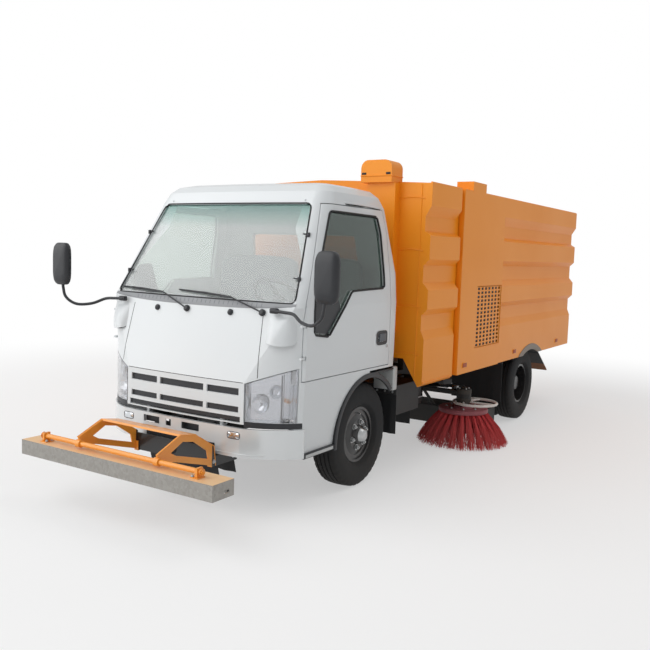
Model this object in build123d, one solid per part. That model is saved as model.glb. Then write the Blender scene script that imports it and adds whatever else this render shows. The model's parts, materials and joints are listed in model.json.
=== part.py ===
from build123d import *
import math
import os

os.makedirs("parts", exist_ok=True)

# Street sweeper truck on a light forward-control chassis, in millimetres.
# It faces -Y, +X is its left side and +Z is up. The origin is on the ground, midway between
# the front of its front bar and the back of its tailgate.

# ---------------------------------------------------------------- driving dimensions
WHEELBASE = 3360.0
FRONT_REACH = 1773.0        # front axle to the face of the front bar
REAR_REACH = 4893.0         # front axle to the back of the tailgate
FRONT_AXLE_Y = (FRONT_REACH - REAR_REACH) / 2

TYRE_R = 402.0
TYRE_W = 215.0
BEAD_R = 203.3
RIM_R = 203.0
RIM_W = 152.0
RIM_WALL = 8.0
FLANGE_R = 216.0
FRONT_TYRE_X = 726.5        # centre plane of a front tyre
REAR_TYRE_X = 858.5         # centre plane of an outer rear tyre
TWIN_GAP = 28.0
RUN_FIT = 0.05              # radial running fit of a pin in its bore
GAP = 6.0                   # seam between moving panels

RAIL_X = 380.0              # outer face of a frame rail
RAIL_TOP = 690.0
RAIL_H = 160.0
RAIL_FLANGE = 65.0
RAIL_T = 7.0
RAIL_FRONT = 1000.0         # rail's front end, ahead of the front axle
CROSS_W = 60.0
CROSS_H = 80.0

CAB_WALL = 45.0
CAB_SKIN = 22.0             # front skin below the windscreen
CAB_FLOOR = 905.0
CAB_FLOOR_T = 25.0
CAB_HEM = 425.0             # lower edge of the step panels
CAB_CHIN = 625.0            # lower edge of the front panel
CAB_ROOF = 2292.0
ARCH_R = 485.0
DOOR_SILL = 930.0
DOOR_FRONT = -895.0         # measured from the front axle, like the other cab stations
DOOR_BACK = 285.0
GLASS_T = 5.0
GLASS_INSET = 12.0
TILT_Y = -1062.0
TILT_Z = 618.0
TILT_PIN_R = 15.0
DOOR_PIN_R = 6.0
DOOR_PIN_INSET = 10.0
HINGE_Z = (1085.0, 1300.0)

BODY_X = 1060.0             # rib crests of the body sides
BODY_TOP = 2372.0
BODY_HEM = 743.0
BODY_WALL = 45.0
RIB_DEPTH = 50.0
ARCH_LIP_R = 764.0          # opening over the rear wheels
ARCH_LIP_Z = 86.0
MUDGUARD_T = 12.0
FLAP_REACH = 790.0
FLAP_FOOT = 478.0
FLAP_X = (560.0, 1000.0)
HEM_INSET = 20.0            # the lowest panel stands this far inside the crests
TANK_FRONT = 600.0
HOOD_X = (469.0, 754.0)     # hood over the tank's roof edge
HOOD_Y = (475.0, 665.0)
HOOD_TOP = 2553.0
HOOD_R = 68.0               # its rounded shoulders
RISER_X = (516.0, 771.0)    # duct up the tank's front, under the hood
RISER_DEPTH = 87.0
RISER_FOOT = 1150.0
TANK_BACK = 1262.0
TANK_STEP = 55.0            # unribbed strip at the back of the tank's sides
SEAM = 10.0
BAY_BACK = 2290.0           # where the hopper's ribs begin
GATE_ROOM = 63.0            # tailgate and its seam behind the hopper
HOPPER_BACK = REAR_REACH - GATE_ROOM
HOPPER_FLOOR = 870.0
HOPPER_FLOOR_T = 30.0
BULKHEAD_T = 30.0
TIP_Y = HOPPER_BACK - 130
TIP_Z = 700.0
TIP_PIN_R = 25.0
GATE_FRONT = HOPPER_BACK + GAP
GATE_PIN_Z = 2310.0
GATE_PIN_R = 10.0

DRAW_Y = TIP_Y - 140        # rear cross member, drilled for a towing jaw
DRAW_Z = 640.0
DRAW_SPACING_X = 140.0
DRAW_SPACING_Z = 50.0
DRAW_HOLE_R = 7.0

RAM_X = 200.0
RAM_Y = 2350.0
RAM_Z = 600.0
RAM_EYE_Y = 3700.0
RAM_EYE_Z = 828.0
RAM_R = 50.0
RAM_ROD_R = 28.0
RAM_BARREL = 1050.0
RAM_PIN_R = 25.0
RAM_EYE_R = 34.0
RAM_DRIFT = 146.0           # how far the free eye strays back from its pin in mid tip

KINGPIN_X = 632.0
KINGPIN_R = 16.0
SPINDLE_R = 22.0
AXLE_Z = TYRE_R
STEER_ARM = 150.0
TIE_PIN_R = 10.0
REAR_SPINDLE_R = 35.0
SPRING_X = 350.0
SPRING_W = 60.0

BROOM_X = 875.0
BROOM_TO_AXLE = 1450.0      # broom's shaft ahead of the rear axle
BROOM_Y = WHEELBASE - BROOM_TO_AXLE
BROOM_R = 448.0
BROOM_PLATE_R = 236.0
BROOM_PLATE_Z = 300.0
BROOM_PLATE_T = 40.0
BRISTLE_TIP = 4.0
BROOM_SHAFT_R = 15.0
BROOM_SHAFT_TOP = 430.0
BROOM_HUB_T = 30.0          # board under the plate
ARM_PIN_X = 340.0
ARM_PIN_Z = 500.0
ARM_PIN_R = 15.0
ARM_HALF = 35.0
ARM_Z = (455.0, 495.0)
SLEEVE_R = 30.0
SLEEVE_HALF = 75.0
MOTOR_R = 70.0
MOTOR_Z = (380.0, 520.0)
GUARD_R = 205.0             # tube ring over the brush, set outboard of its shaft
GUARD_TUBE_R = 11.0
GUARD_X = BROOM_X + 110.0
GUARD_Y = BROOM_Y + 20.0
GUARD_Z = 396.0
GUARD_STAYS = (-100.0, 0.0, 100.0)  # angles of the stays from the outboard line
STAY_R = 9.0
STAY_Z = GUARD_Z - 3.0

DUCT_TO_AXLE = 710.0        # the duct stands this far ahead of the rear axle
DUCT_Y = WHEELBASE - DUCT_TO_AXLE
NOZZLE_REACH = 500.0        # pins to the nozzle's middle
NOZZLE_PIN_Y = DUCT_Y - NOZZLE_REACH
NOZZLE_HALF_Y = 200.0
NOZZLE_HALF_X = 850.0
NOZZLE_T = 25.0
NOZZLE_BOTTOM = 15.0
NOZZLE_TOP = 200.0
NOZZLE_PIN_Z = 450.0
NOZZLE_PIN_R = 12.0
DUCT_X = -580.0
DUCT_R = 100.0

BAR_HALF = 869.0
BAR_DEPTH = 198.0
BAR_BOTTOM = 327.0
BAR_TOP = 429.0
BAR_WALL = 5.0
BAR_TUBE_HALF = 720.0
BAR_TUBE_R = 17.0
BAR_PIN_BACK = 73.0
BAR_PIN_Y = BAR_PIN_BACK - FRONT_REACH
BAR_SLOT_Y = (105.0, 150.0)  # slot in the beam's ends, from its face
BAR_SLOT_Z = (355.0, 378.0)
BAR_LUG_T = 18.0
BAR_LUG_HALF = 26.0
BAR_FOOT_HALF = 35.0
BAR_FOOT_W = 60.0
BAR_FOOT_T = 6.0
BAR_PIN_Z = 467.0
BAR_PLATE_X = 360.0
BAR_PLATE_T = 12.0

RAIL_END = 15.0             # the rails stop this far ahead of the tip pin
RAIL_BOTTOM = RAIL_TOP - RAIL_H
WEB_X = RAIL_X - RAIL_T     # inner face of a rail's web
FRAME_T = 20.0              # plate of the frame's ears and hangers
TILT_ARM_X = 300.0
TILT_ARM_T = 30.0
TILT_EAR_X = TILT_ARM_X + TILT_ARM_T + GAP
TILT_EAR_T = 24.0
TILT_PIN_END = TILT_EAR_X + TILT_EAR_T + GAP
TIP_EAR_R = 36.0
TIP_EAR_FOOT = 90.0
TIP_SIDE_GAP = 10.0         # frame rail to the hopper's beam
TIP_LUG_T = 25.0
TIP_BEAM_W = 40.0
TIP_PIN_END = RAIL_X + TIP_SIDE_GAP + TIP_LUG_T + 10
# cross members: (station, top)
CROSS_MEMBERS = (
    (-970.0, 680.0), (950.0, 680.0), (1420.0, 680.0), (WHEELBASE - 410, 600.0), (WHEELBASE + 540, 680.0),
    (DRAW_Y, 680.0),
)

UNDERRUN_HALF = 640.0
UNDERRUN_Y = DRAW_Y
UNDERRUN_DEPTH = 60.0
UNDERRUN_Z = 420.0
UNDERRUN_H = 100.0
TAIL_LAMP_X = (396.0, 616.0)
TAIL_LAMP_H = 90.0

AXLE_HALF = 32.0            # half the front beam's height
AXLE_BEAM_X = 600.0
AXLE_EYE_R = 38.0
TUBE_AXLE_R = 55.0
TUBE_AXLE_X = 660.0
SPINDLE_END = 845.0
BOWL_R = 160.0
BOWL_W = 150.0
SPRING_HALF = 570.0
SPRING_CLAMP = 80.0
SPRING_T = 45.0
LEAF_T = 16.0
LEAF_TIP_DROP = 12.0

ENGINE_X = 300.0
ENGINE_Y = (-500.0, 250.0)
ENGINE_Z = (480.0, 1000.0)
GEARBOX_X = 160.0
GEARBOX_BACK = 780.0
GEARBOX_Z = (460.0, 720.0)
BRACKET_Z = (560.0, 620.0)  # height of the side brackets on the rails
SHAFT_R = 35.0
SHAFT_FRONT_Z = 564.5
SHAFT_BACK_Z = 421.4
NOSE_R = 50.0               # differential nose
NOSE_REACH = 175.0
NOSE_FRONT = WHEELBASE - NOSE_REACH
TANK_Y = (620.0, 1220.0)
TANK_X = (450.0, 900.0)
TANK_Z = (400.0, 700.0)
BATTERY_X = (450.0, 800.0)
BATTERY_Y = (620.0, 1050.0)
BATTERY_Z = (450.0, 700.0)
MUFFLER_X = -200.0
MUFFLER_R = 90.0
MUFFLER_Y = (1000.0, 1550.0)
PIPE_R = 28.0
PIPE_Y = (800.0, 2000.0)
PIPE_Z = 420.0
HANGER_W = 30.0

HINGE_X = 888.0 - DOOR_PIN_INSET
HINGE_Y = DOOR_FRONT + DOOR_PIN_INSET
LUG_HALF = 8.0
PIN_HALF = 40.0
DOOR_NICK = 5.0             # the door's edge is set back here, where the pillar starts to lean
DOOR_NICK_Z = (1424.0, 1448.0)
DOOR_JAMB = 37.0            # the door's front end reaches this far in from its hinge line
JAMB_BACK = 60.0
DASH_X = 834.0

WHEEL_TILT = 42.0           # lean of the steering column from upright, in degrees
COLUMN_TOP = (390.0, -525.0, 1413.0)
COLUMN_FOOT = (390.0, -700.0, 1220.0)
COLUMN_R = 32.0
COLUMN_DIR = (0, math.sin(math.radians(WHEEL_TILT)), math.cos(math.radians(WHEEL_TILT)))
STEER_R = 205.0
STEER_RIM_R = 15.0
# seats: left edge, right edge
SEATS = ((160.0, 660.0), (-790.0, 60.0))
SEAT_Y = (-290.0, 220.0)
SEAT_Z = (1150.0, 1270.0)
SEAT_BACK_TOP = 1850.0
COVER_X = 370.0             # cover over the engine
COVER_Y = (-560.0, 370.0)
COVER_TOP = 1110.0
COVER_T = 25.0

BUMPER_BOTTOM = 405.0
BUMPER_TOP = 603.0
BUMPER_STAND = 32.0         # bumper's face ahead of the cab's
BUMPER_T = 6.0
BUMPER_LIP = 10.0
BUMPER_BACK = -868.0
# openings in the bumper: left edge, right edge
BUMPER_SLOTS = ((-334.0, -174.0), (-110.0, -60.0), (40.0, 200.0))
BUMPER_SLOT_Z = (535.0, 583.0)

KNUCKLE_X = 688.0
KNUCKLE_HALF = 38.0
KNUCKLE_LOW = AXLE_Z - 77.0
KNUCKLE_HIGH = AXLE_Z + 73.0
KNUCKLE_T = 30.0
KNUCKLE_ARM_W = 28.0
SPINDLE_X = 800.0
TIE_ROD_R = 14.0
TIE_EYE_R = 22.0
TIE_ROD_Z = KNUCKLE_LOW - 16

AUX_X = 450.0
AUX_Y = (1560.0, 2200.0)
AUX_Z = (800.0, 1600.0)


# ---------------------------------------------------------------- helpers
def at(y):
    """A station measured from the front axle, in the part's own Y."""
    return FRONT_AXLE_Y + y


def box(x0, x1, y0, y1, z0, z1):
    """Box between two corners, with Y measured from the front axle."""
    size = Box(abs(x1 - x0), abs(y1 - y0), abs(z1 - z0))
    return Pos((x0 + x1) / 2, at((y0 + y1) / 2), (z0 + z1) / 2) * size


def bar_x(radius, x0, x1, y, z):
    return Pos((x0 + x1) / 2, at(y), z) * Rot(0, 90, 0) * Cylinder(radius, abs(x1 - x0))


def bar_y(radius, x, y0, y1, z):
    return Pos(x, at((y0 + y1) / 2), z) * Rot(90, 0, 0) * Cylinder(radius, abs(y1 - y0))


def bar_z(radius, x, y, z0, z1):
    return Pos(x, at(y), (z0 + z1) / 2) * Cylinder(radius, abs(z1 - z0))


def plate_yz(points, x0, x1):
    """Plate across the truck from an outline of (y, z) points."""
    outline = Polyline(*[(at(y), z) for y, z in points], close=True)
    face = make_face(Plane.YZ * outline)
    return Pos(min(x0, x1), 0, 0) * extrude(face, amount=abs(x1 - x0), dir=(1, 0, 0))


def plate_xz(points, y0, y1):
    """Plate along the truck from an outline of (x, z) points."""
    outline = Polyline(*points, close=True)
    face = make_face(Plane.XZ * outline)
    return Pos(0, at(min(y0, y1)), 0) * extrude(face, amount=abs(y1 - y0), dir=(0, 1, 0))


def rod(radius, start, end):
    """Round bar between two (x, y, z) points, with Y measured from the front axle."""
    a = Vector(start[0], at(start[1]), start[2])
    b = Vector(end[0], at(end[1]), end[2])
    return Plane(origin=a, z_dir=b - a) * Pos(0, 0, (b - a).length / 2) * Cylinder(radius, (b - a).length)


def flip(shape):
    """The same piece on the other side of the truck."""
    return mirror(shape, about=Plane.YZ)


def both(shape):
    return shape + flip(shape)


def solids_of(shape):
    return shape.solids() if hasattr(shape, "solids") else [shape]


def save(name, *shapes):
    """Writes one node; separate solids stay separate."""
    parts = [solid for shape in shapes for solid in solids_of(shape)]
    whole = parts[0] if len(parts) == 1 else Compound(children=parts)
    export_step(whole, f"parts/{name}.step")


# ---------------------------------------------------------------- chassis
def rail(side_x):
    """C-section rail, open towards the middle of the frame."""
    inner = side_x - RAIL_FLANGE
    points = [
        (inner, RAIL_BOTTOM), (side_x, RAIL_BOTTOM), (side_x, RAIL_TOP), (inner, RAIL_TOP),
        (inner, RAIL_TOP - RAIL_T), (side_x - RAIL_T, RAIL_TOP - RAIL_T),
        (side_x - RAIL_T, RAIL_BOTTOM + RAIL_T), (inner, RAIL_BOTTOM + RAIL_T),
    ]
    return plate_xz(points, -RAIL_FRONT, TIP_Y - RAIL_END)


def tilt_bracket():
    """Frame arm that carries the pin the cab tilts on."""
    nose = TILT_Y - 18
    back = -RAIL_FRONT + CROSS_W
    arm = plate_yz(
        [(nose, TILT_Z - 20), (nose, TILT_Z + 22), (-RAIL_FRONT, RAIL_TOP - 5), (back, RAIL_TOP - 5),
         (back, TILT_Z - 18)],
        TILT_ARM_X, TILT_ARM_X + TILT_ARM_T,
    )
    return arm + bar_x(TILT_PIN_R, TILT_ARM_X, TILT_PIN_END, TILT_Y, TILT_Z)


def chassis_frame():
    frame = both(rail(RAIL_X))
    for station, top in CROSS_MEMBERS:
        frame += box(-WEB_X, WEB_X, station - CROSS_W / 2, station + CROSS_W / 2, top - CROSS_H, top)
    for x in (-DRAW_SPACING_X / 2, DRAW_SPACING_X / 2):
        for z in (DRAW_Z - DRAW_SPACING_Z / 2, DRAW_Z + DRAW_SPACING_Z / 2):
            frame -= bar_y(DRAW_HOLE_R, x, DRAW_Y - CROSS_W, DRAW_Y + CROSS_W, z)
    frame += bar_x(RAM_PIN_R, -WEB_X, WEB_X, RAM_Y, RAM_Z)
    ear = plate_yz(
        [(TIP_Y - TIP_EAR_FOOT, RAIL_BOTTOM), (TIP_Y - RAIL_END, RAIL_BOTTOM), (TIP_Y + TIP_EAR_R, TIP_Z - 20),
         (TIP_Y + TIP_EAR_R, TIP_Z + TIP_EAR_R), (TIP_Y - TIP_EAR_R, TIP_Z + TIP_EAR_R),
         (TIP_Y - TIP_EAR_FOOT, RAIL_TOP)],
        RAIL_X - FRAME_T, RAIL_X,
    )
    frame += both(ear)
    frame += bar_x(TIP_PIN_R, -TIP_PIN_END, TIP_PIN_END, TIP_Y, TIP_Z)
    frame += both(tilt_bracket())
    # hangers under the rails for the nozzle and the broom arms
    hanger = box(RAIL_X - 50, RAIL_X - 25, NOZZLE_PIN_Y - 25, NOZZLE_PIN_Y + 25, NOZZLE_PIN_Z - 25, RAIL_BOTTOM)
    frame += both(hanger + bar_x(NOZZLE_PIN_R, 290, RAIL_X - 25, NOZZLE_PIN_Y, NOZZLE_PIN_Z))
    for station in (BROOM_Y - 90, BROOM_Y + 90):
        drop = box(ARM_PIN_X - 25, ARM_PIN_X + 25, station - 10, station + 10, ARM_PIN_Z - 25, RAIL_BOTTOM)
        frame += both(drop)
    frame += both(bar_y(ARM_PIN_R, ARM_PIN_X, BROOM_Y - 100, BROOM_Y + 100, ARM_PIN_Z))
    return frame


def underrun_bar():
    top = UNDERRUN_Z + UNDERRUN_H
    bar = box(-UNDERRUN_HALF, UNDERRUN_HALF, UNDERRUN_Y, UNDERRUN_Y + UNDERRUN_DEPTH, UNDERRUN_Z, top)
    return bar + both(box(RAIL_X - 60, RAIL_X, UNDERRUN_Y + 10, UNDERRUN_Y + 50, top, RAIL_BOTTOM))


def tail_lamps():
    top = UNDERRUN_Z + UNDERRUN_H
    return both(box(*TAIL_LAMP_X, UNDERRUN_Y + 15, UNDERRUN_Y + 50, top, top + TAIL_LAMP_H))


def front_axle():
    beam = box(-AXLE_BEAM_X, AXLE_BEAM_X, -AXLE_HALF, AXLE_HALF, AXLE_Z - AXLE_HALF, AXLE_Z + AXLE_HALF + 1)
    beam += both(bar_z(AXLE_EYE_R, KINGPIN_X, 0, AXLE_Z - 42, AXLE_Z + AXLE_EYE_R))
    bore = bar_z(KINGPIN_R + RUN_FIT, KINGPIN_X, 0, AXLE_Z - 60, AXLE_Z + 60)
    return beam - both(bore)


def rear_axle():
    axle = bar_x(TUBE_AXLE_R, -TUBE_AXLE_X, TUBE_AXLE_X, WHEELBASE, AXLE_Z)
    axle += bar_x(REAR_SPINDLE_R, -SPINDLE_END, SPINDLE_END, WHEELBASE, AXLE_Z)
    axle += bar_x(BOWL_R, -BOWL_W / 2, BOWL_W / 2, WHEELBASE, AXLE_Z)
    return axle + bar_y(NOSE_R, 0, NOSE_FRONT, WHEELBASE - 100, AXLE_Z + 20)


def leaf_spring(station, seat_z):
    """Leaf pack clamped on the axle, its ends in brackets under the rail."""
    x0 = SPRING_X - SPRING_W / 2
    x1 = SPRING_X + SPRING_W / 2
    tip = RAIL_BOTTOM - LEAF_TIP_DROP
    low = tip - LEAF_T
    near = station - SPRING_CLAMP
    far = station + SPRING_CLAMP
    pack = plate_yz(
        [(station - SPRING_HALF, low), (near, seat_z + 8), (near, seat_z), (far, seat_z),
         (far, seat_z + 8), (station + SPRING_HALF, low), (station + SPRING_HALF, tip),
         (far, seat_z + SPRING_T), (near, seat_z + SPRING_T), (station - SPRING_HALF, tip)],
        x0, x1,
    )
    for end in (station - SPRING_HALF + 10, station + SPRING_HALF - 10):
        pack += box(x0, x1, end - 20, end + 20, RAIL_BOTTOM - 45, RAIL_BOTTOM)
    return pack


def engine_block():
    block = box(-ENGINE_X, ENGINE_X, *ENGINE_Y, *ENGINE_Z)
    return block + both(box(ENGINE_X, WEB_X, -150, -50, *BRACKET_Z))


def gearbox():
    return box(-GEARBOX_X, GEARBOX_X, ENGINE_Y[1], GEARBOX_BACK, *GEARBOX_Z)


def propshaft():
    """Shaft from the gearbox's back face to the differential nose."""
    shaft = rod(SHAFT_R, (0, GEARBOX_BACK - 80, SHAFT_FRONT_Z), (0, NOSE_FRONT + 65, SHAFT_BACK_Z))
    return shaft & box(-50, 50, GEARBOX_BACK, NOSE_FRONT, 300, 700)


def fuel_tank():
    tank = box(-TANK_X[1], -TANK_X[0], *TANK_Y, *TANK_Z)
    for station in (TANK_Y[0] + 80, TANK_Y[1] - 120):
        tank += box(-TANK_X[0], -RAIL_X, station - 25, station + 25, *BRACKET_Z)
    return tank


def battery_box():
    case = box(*BATTERY_X, *BATTERY_Y, *BATTERY_Z)
    return case + box(RAIL_X, BATTERY_X[0], BATTERY_Y[0] + 80, BATTERY_Y[1] - 100, *BRACKET_Z)


def exhaust():
    muffler = bar_y(MUFFLER_R, MUFFLER_X, *MUFFLER_Y, PIPE_Z) + bar_y(PIPE_R, MUFFLER_X, *PIPE_Y, PIPE_Z)
    half = HANGER_W / 2
    return muffler + box(MUFFLER_X - half, MUFFLER_X + half, 1420 - half, 1420 + half, PIPE_Z + 80, 600)


# ---------------------------------------------------------------- front bar and its carrier
def front_bar_mount():
    x0 = BAR_PLATE_X - BAR_PLATE_T / 2
    x1 = BAR_PLATE_X + BAR_PLATE_T / 2
    rim = [(BAR_PIN_Y - 12, 512), (BAR_PIN_Y + 195, 600), (-1360, 575), (-1180, 468), (-1160, 325),
           (BAR_PIN_Y + 135, 438), (BAR_PIN_Y + 10, 452)]
    hole = [(BAR_PIN_Y + 110, 500), (BAR_PIN_Y + 217, 553), (-1378, 533), (-1245, 447), (-1230, 388),
            (BAR_PIN_Y + 160, 472)]
    plate = plate_yz(rim, x0, x1) - plate_yz(hole, x0 - 5, x1 + 5)
    plate += bar_x(27, x0 - 14, x1 + 14, BAR_PIN_Y, BAR_PIN_Z)
    plate += box(x0 - 25, x0 + 12, -1200, -930, 325, 395)
    plate += box(x0 - 25, x0 + 12, -1000, -930, 325, RAIL_TOP - RAIL_H)
    mount = both(plate)
    nose = BAR_PIN_Y + 195
    mount += plate_yz([(nose - 7, 592), (nose, 604), (-1355, 579), (-1362, 567)], -x1, x1)
    mount += box(-x0, x0, -1190, -1178, 330, 455) - bar_y(38, 0, -1250, -1100, 392)
    mount -= bar_x(BAR_TUBE_R + RUN_FIT, -x1 - 30, x1 + 30, BAR_PIN_Y, BAR_PIN_Z)
    return mount


def front_bar_beam():
    front = -FRONT_REACH
    beam = box(-BAR_HALF, BAR_HALF, front, front + BAR_DEPTH, BAR_BOTTOM, BAR_TOP)
    inside = box(
        -BAR_HALF + BAR_WALL, BAR_HALF - BAR_WALL, front + BAR_WALL, front + BAR_DEPTH - BAR_WALL,
        BAR_BOTTOM - 10, BAR_TOP - BAR_WALL,
    )
    slot = box(BAR_HALF - 20, BAR_HALF + 10, front + BAR_SLOT_Y[0], front + BAR_SLOT_Y[1], *BAR_SLOT_Z)
    return beam - inside - both(slot)


def front_bar_tube():
    tube = bar_x(BAR_TUBE_R, -BAR_TUBE_HALF, BAR_TUBE_HALF, BAR_PIN_Y, BAR_PIN_Z)
    edge = BAR_TUBE_HALF - 12
    lug_top = BAR_PIN_Z + BAR_TUBE_R + 7
    lug = box(edge - BAR_LUG_T, edge, BAR_PIN_Y - BAR_LUG_HALF, BAR_PIN_Y + BAR_LUG_HALF, BAR_TOP, lug_top)
    foot = box(
        BAR_TUBE_HALF - BAR_FOOT_W, BAR_TUBE_HALF, BAR_PIN_Y - BAR_FOOT_HALF, BAR_PIN_Y + BAR_FOOT_HALF,
        BAR_TOP, BAR_TOP + BAR_FOOT_T,
    )
    return tube + both(lug) + both(foot)


# ---------------------------------------------------------------- cab
# columns: height, front at the middle, x and y where the front meets the corner,
# x and y where the corner meets the side, corner bulge, back
CAB_SECTIONS = (
    (425.0, -1118, 545, -1098, 872, -880, 36, 400),
    (905.0, -1118, 545, -1098, 888, -880, 34, 405),
    (1030.0, -1086, 610, -1058, 891, -878, 26, 408),
    (1420.0, -986, 838, -950, 892, -872, 12, 412),
    (1640.0, -862, 793, -829, 873, -742, 15, 415),
    (2140.0, -590, 694, -562, 802, -450, 22, 315),
    (2222.0, -534, 676, -502, 776, -400, 26, 262),
    (2268.0, -478, 640, -445, 726, -350, 26, 215),
    (2292.0, -380, 560, -350, 630, -270, 20, 120),
)
BACK_CORNER = 45.0


def cab_row(height):
    """Section values at any height, straight between the table's rows."""
    rows = CAB_SECTIONS
    height = max(rows[0][0], min(rows[-1][0], height))
    for low, high in zip(rows, rows[1:]):
        if low[0] <= height <= high[0]:
            t = (height - low[0]) / (high[0] - low[0])
            return [a + (b - a) * t for a, b in zip(low, high)]


def cab_face(height, inset):
    """Plan section of the cab at one height, moved in by the inset."""
    _, front, corner_x, corner_y, side_x, side_y, bulge, back = cab_row(height)
    front += inset
    corner_x -= inset * 0.45
    corner_y += inset
    side_x -= inset
    side_y += inset * 0.45
    back -= inset
    chord = Vector(side_x - corner_x, side_y - corner_y)
    out = Vector(chord.Y, -chord.X).normalized() * bulge
    mid_x = (corner_x + side_x) / 2 + out.X
    mid_y = (corner_y + side_y) / 2 + out.Y
    tuck = BACK_CORNER * (1 - math.sqrt(0.5))
    turn_x = side_x - BACK_CORNER
    turn_y = back - BACK_CORNER
    edges = [
        ThreePointArc((-corner_x, at(corner_y)), (0, at(front)), (corner_x, at(corner_y))),
        ThreePointArc((corner_x, at(corner_y)), (mid_x, at(mid_y)), (side_x, at(side_y))),
        Line((side_x, at(side_y)), (side_x, at(turn_y))),
        ThreePointArc((side_x, at(turn_y)), (side_x - tuck, at(back - tuck)), (turn_x, at(back))),
        Line((turn_x, at(back)), (-turn_x, at(back))),
        ThreePointArc((-turn_x, at(back)), (-side_x + tuck, at(back - tuck)), (-side_x, at(turn_y))),
        Line((-side_x, at(turn_y)), (-side_x, at(side_y))),
        ThreePointArc((-side_x, at(side_y)), (-mid_x, at(mid_y)), (-corner_x, at(corner_y))),
    ]
    return Pos(0, 0, height) * make_face(Wire(edges))


def cab_form(inset, bottom, top):
    """Closed form of the cab between two heights."""
    heights = [bottom] + [row[0] for row in CAB_SECTIONS if bottom + 1 < row[0] < top - 1] + [top]
    return loft([cab_face(height, inset) for height in heights], ruled=True)


def side_zone(points, inset=0.0):
    """Prism through one side of the cab from (y, z) points, drawn smaller by the inset."""
    outline = Polyline(*[(at(y), z) for y, z in points], close=True)
    face = make_face(Plane.YZ * outline)
    if inset:
        face = offset(face, amount=-inset, kind=Kind.INTERSECTION)
    return Pos(600, 0, 0) * extrude(face, amount=400, dir=(1, 0, 0))


DOOR_OUTLINE = (
    (DOOR_FRONT, DOOR_SILL), (DOOR_BACK, DOOR_SILL), (DOOR_BACK, 1960), (245, 2128), (-538, 2128),
    (-890, 1425), (DOOR_FRONT, 1340),
)
DOOR_WINDOW = (
    (-785, 1238), (-605, 1214), (-300, 1522), (185, 1532), (185, 1950), (150, 2072), (-505, 2076), (-768, 1570),
    (-790, 1400),
)
WINDSCREEN = ((-822, 1452), (822, 1452), (684, 2124), (-684, 2124))
BACK_LIGHT = ((-560, 1430), (560, 1430), (520, 1930), (-520, 1930))
LAMP_BACK = DOOR_FRONT - 11
LAMP = ((548, 645), (548, 903), (770, 985), (930, 1042), (930, 650))
GRILLE_X = 538.0
GRILLE_TOP = 905.0
GRILLE_COLUMNS = ((-505.0, -235.0), (-205.0, 205.0), (235.0, 505.0))
GRILLE_ROWS = ((818.0, 866.0), (700.0, 742.0))
GRILLE_GAP_X = 520.0        # one long opening under the slots
GRILLE_GAP_Z = (634.0, 674.0)
GRILLE_CUT = (-1300.0, -1070.0)


def lamp_zone():
    return both(plate_xz(LAMP, -1300, LAMP_BACK))


def grille_zone():
    return box(-GRILLE_X, GRILLE_X, -1300, -1000, CAB_CHIN - 60, GRILLE_TOP)


def hinge_lugs(grow):
    """Lugs at the door's front edge; grown, they are the door's pockets for them."""
    half = LUG_HALF + grow
    return [
        box(HINGE_X - half, HINGE_X + half, DOOR_FRONT - 35, HINGE_Y + 9 + grow, z - half, z + half)
        for z in HINGE_Z
    ]


def hinge_pins(slack):
    half = PIN_HALF + slack
    return [bar_z(DOOR_PIN_R + slack, HINGE_X, HINGE_Y, z - half, z + half) for z in HINGE_Z]


CAB_OUTER = cab_form(0, CAB_HEM, CAB_ROOF)
CAB_CAVITY = cab_form(CAB_WALL, CAB_FLOOR + CAB_FLOOR_T, CAB_ROOF - 40)


def cab_shell():
    # what lies below the chin, behind the step panels and inside the wheel arches
    under = box(-1000, 1000, -1300, -925, CAB_HEM - 50, CAB_CHIN)
    under += box(-1000, 1000, 0, 600, CAB_HEM - 50, CAB_FLOOR)
    under += bar_x(ARCH_R, -1000, 1000, 0, AXLE_Z)
    shell = CAB_OUTER - under
    shell -= CAB_CAVITY
    shell -= cab_form(CAB_SKIN, CAB_HEM, CAB_FLOOR)
    shell -= grille_zone()
    # cover over the engine, open below
    shell += box(-COVER_X, COVER_X, *COVER_Y, CAB_FLOOR, COVER_TOP)
    inner = COVER_X - COVER_T
    shell -= box(-inner, inner, COVER_Y[0] + COVER_T, COVER_Y[1] - COVER_T, CAB_FLOOR - 50, COVER_TOP - COVER_T)
    # tie and ears that carry the cab on its tilt pins
    shell += box(-345, 345, -1050, -1000, 720, 770)
    ear = plate_yz(
        [(TILT_Y - 24, 592), (TILT_Y + 24, 592), (TILT_Y + 24, 705), (-960, 740), (-960, CAB_FLOOR + 5),
         (-1070, CAB_FLOOR + 5), (-1086, 640)],
        TILT_EAR_X, TILT_EAR_X + TILT_EAR_T,
    )
    shell += both(ear)
    shell -= bar_x(TILT_PIN_R + RUN_FIT, -400, 400, TILT_Y, TILT_Z)
    opening = side_zone(DOOR_OUTLINE, -GAP)
    shell -= both(opening)
    shell -= plate_xz(WINDSCREEN, -1300, -430)
    shell -= plate_xz(BACK_LIGHT, 250, 600)
    shell -= headlamps()
    for piece in hinge_lugs(0) + hinge_pins(0):
        shell += both(piece)
    return shell


def glass(zone):
    return (cab_form(GLASS_INSET, 1150, 2200) - cab_form(GLASS_INSET + GLASS_T, 1150, 2200)) & zone


def cab_glass():
    return [glass(plate_xz(WINDSCREEN, -1300, -430)), glass(plate_xz(BACK_LIGHT, 250, 600))]


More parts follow.
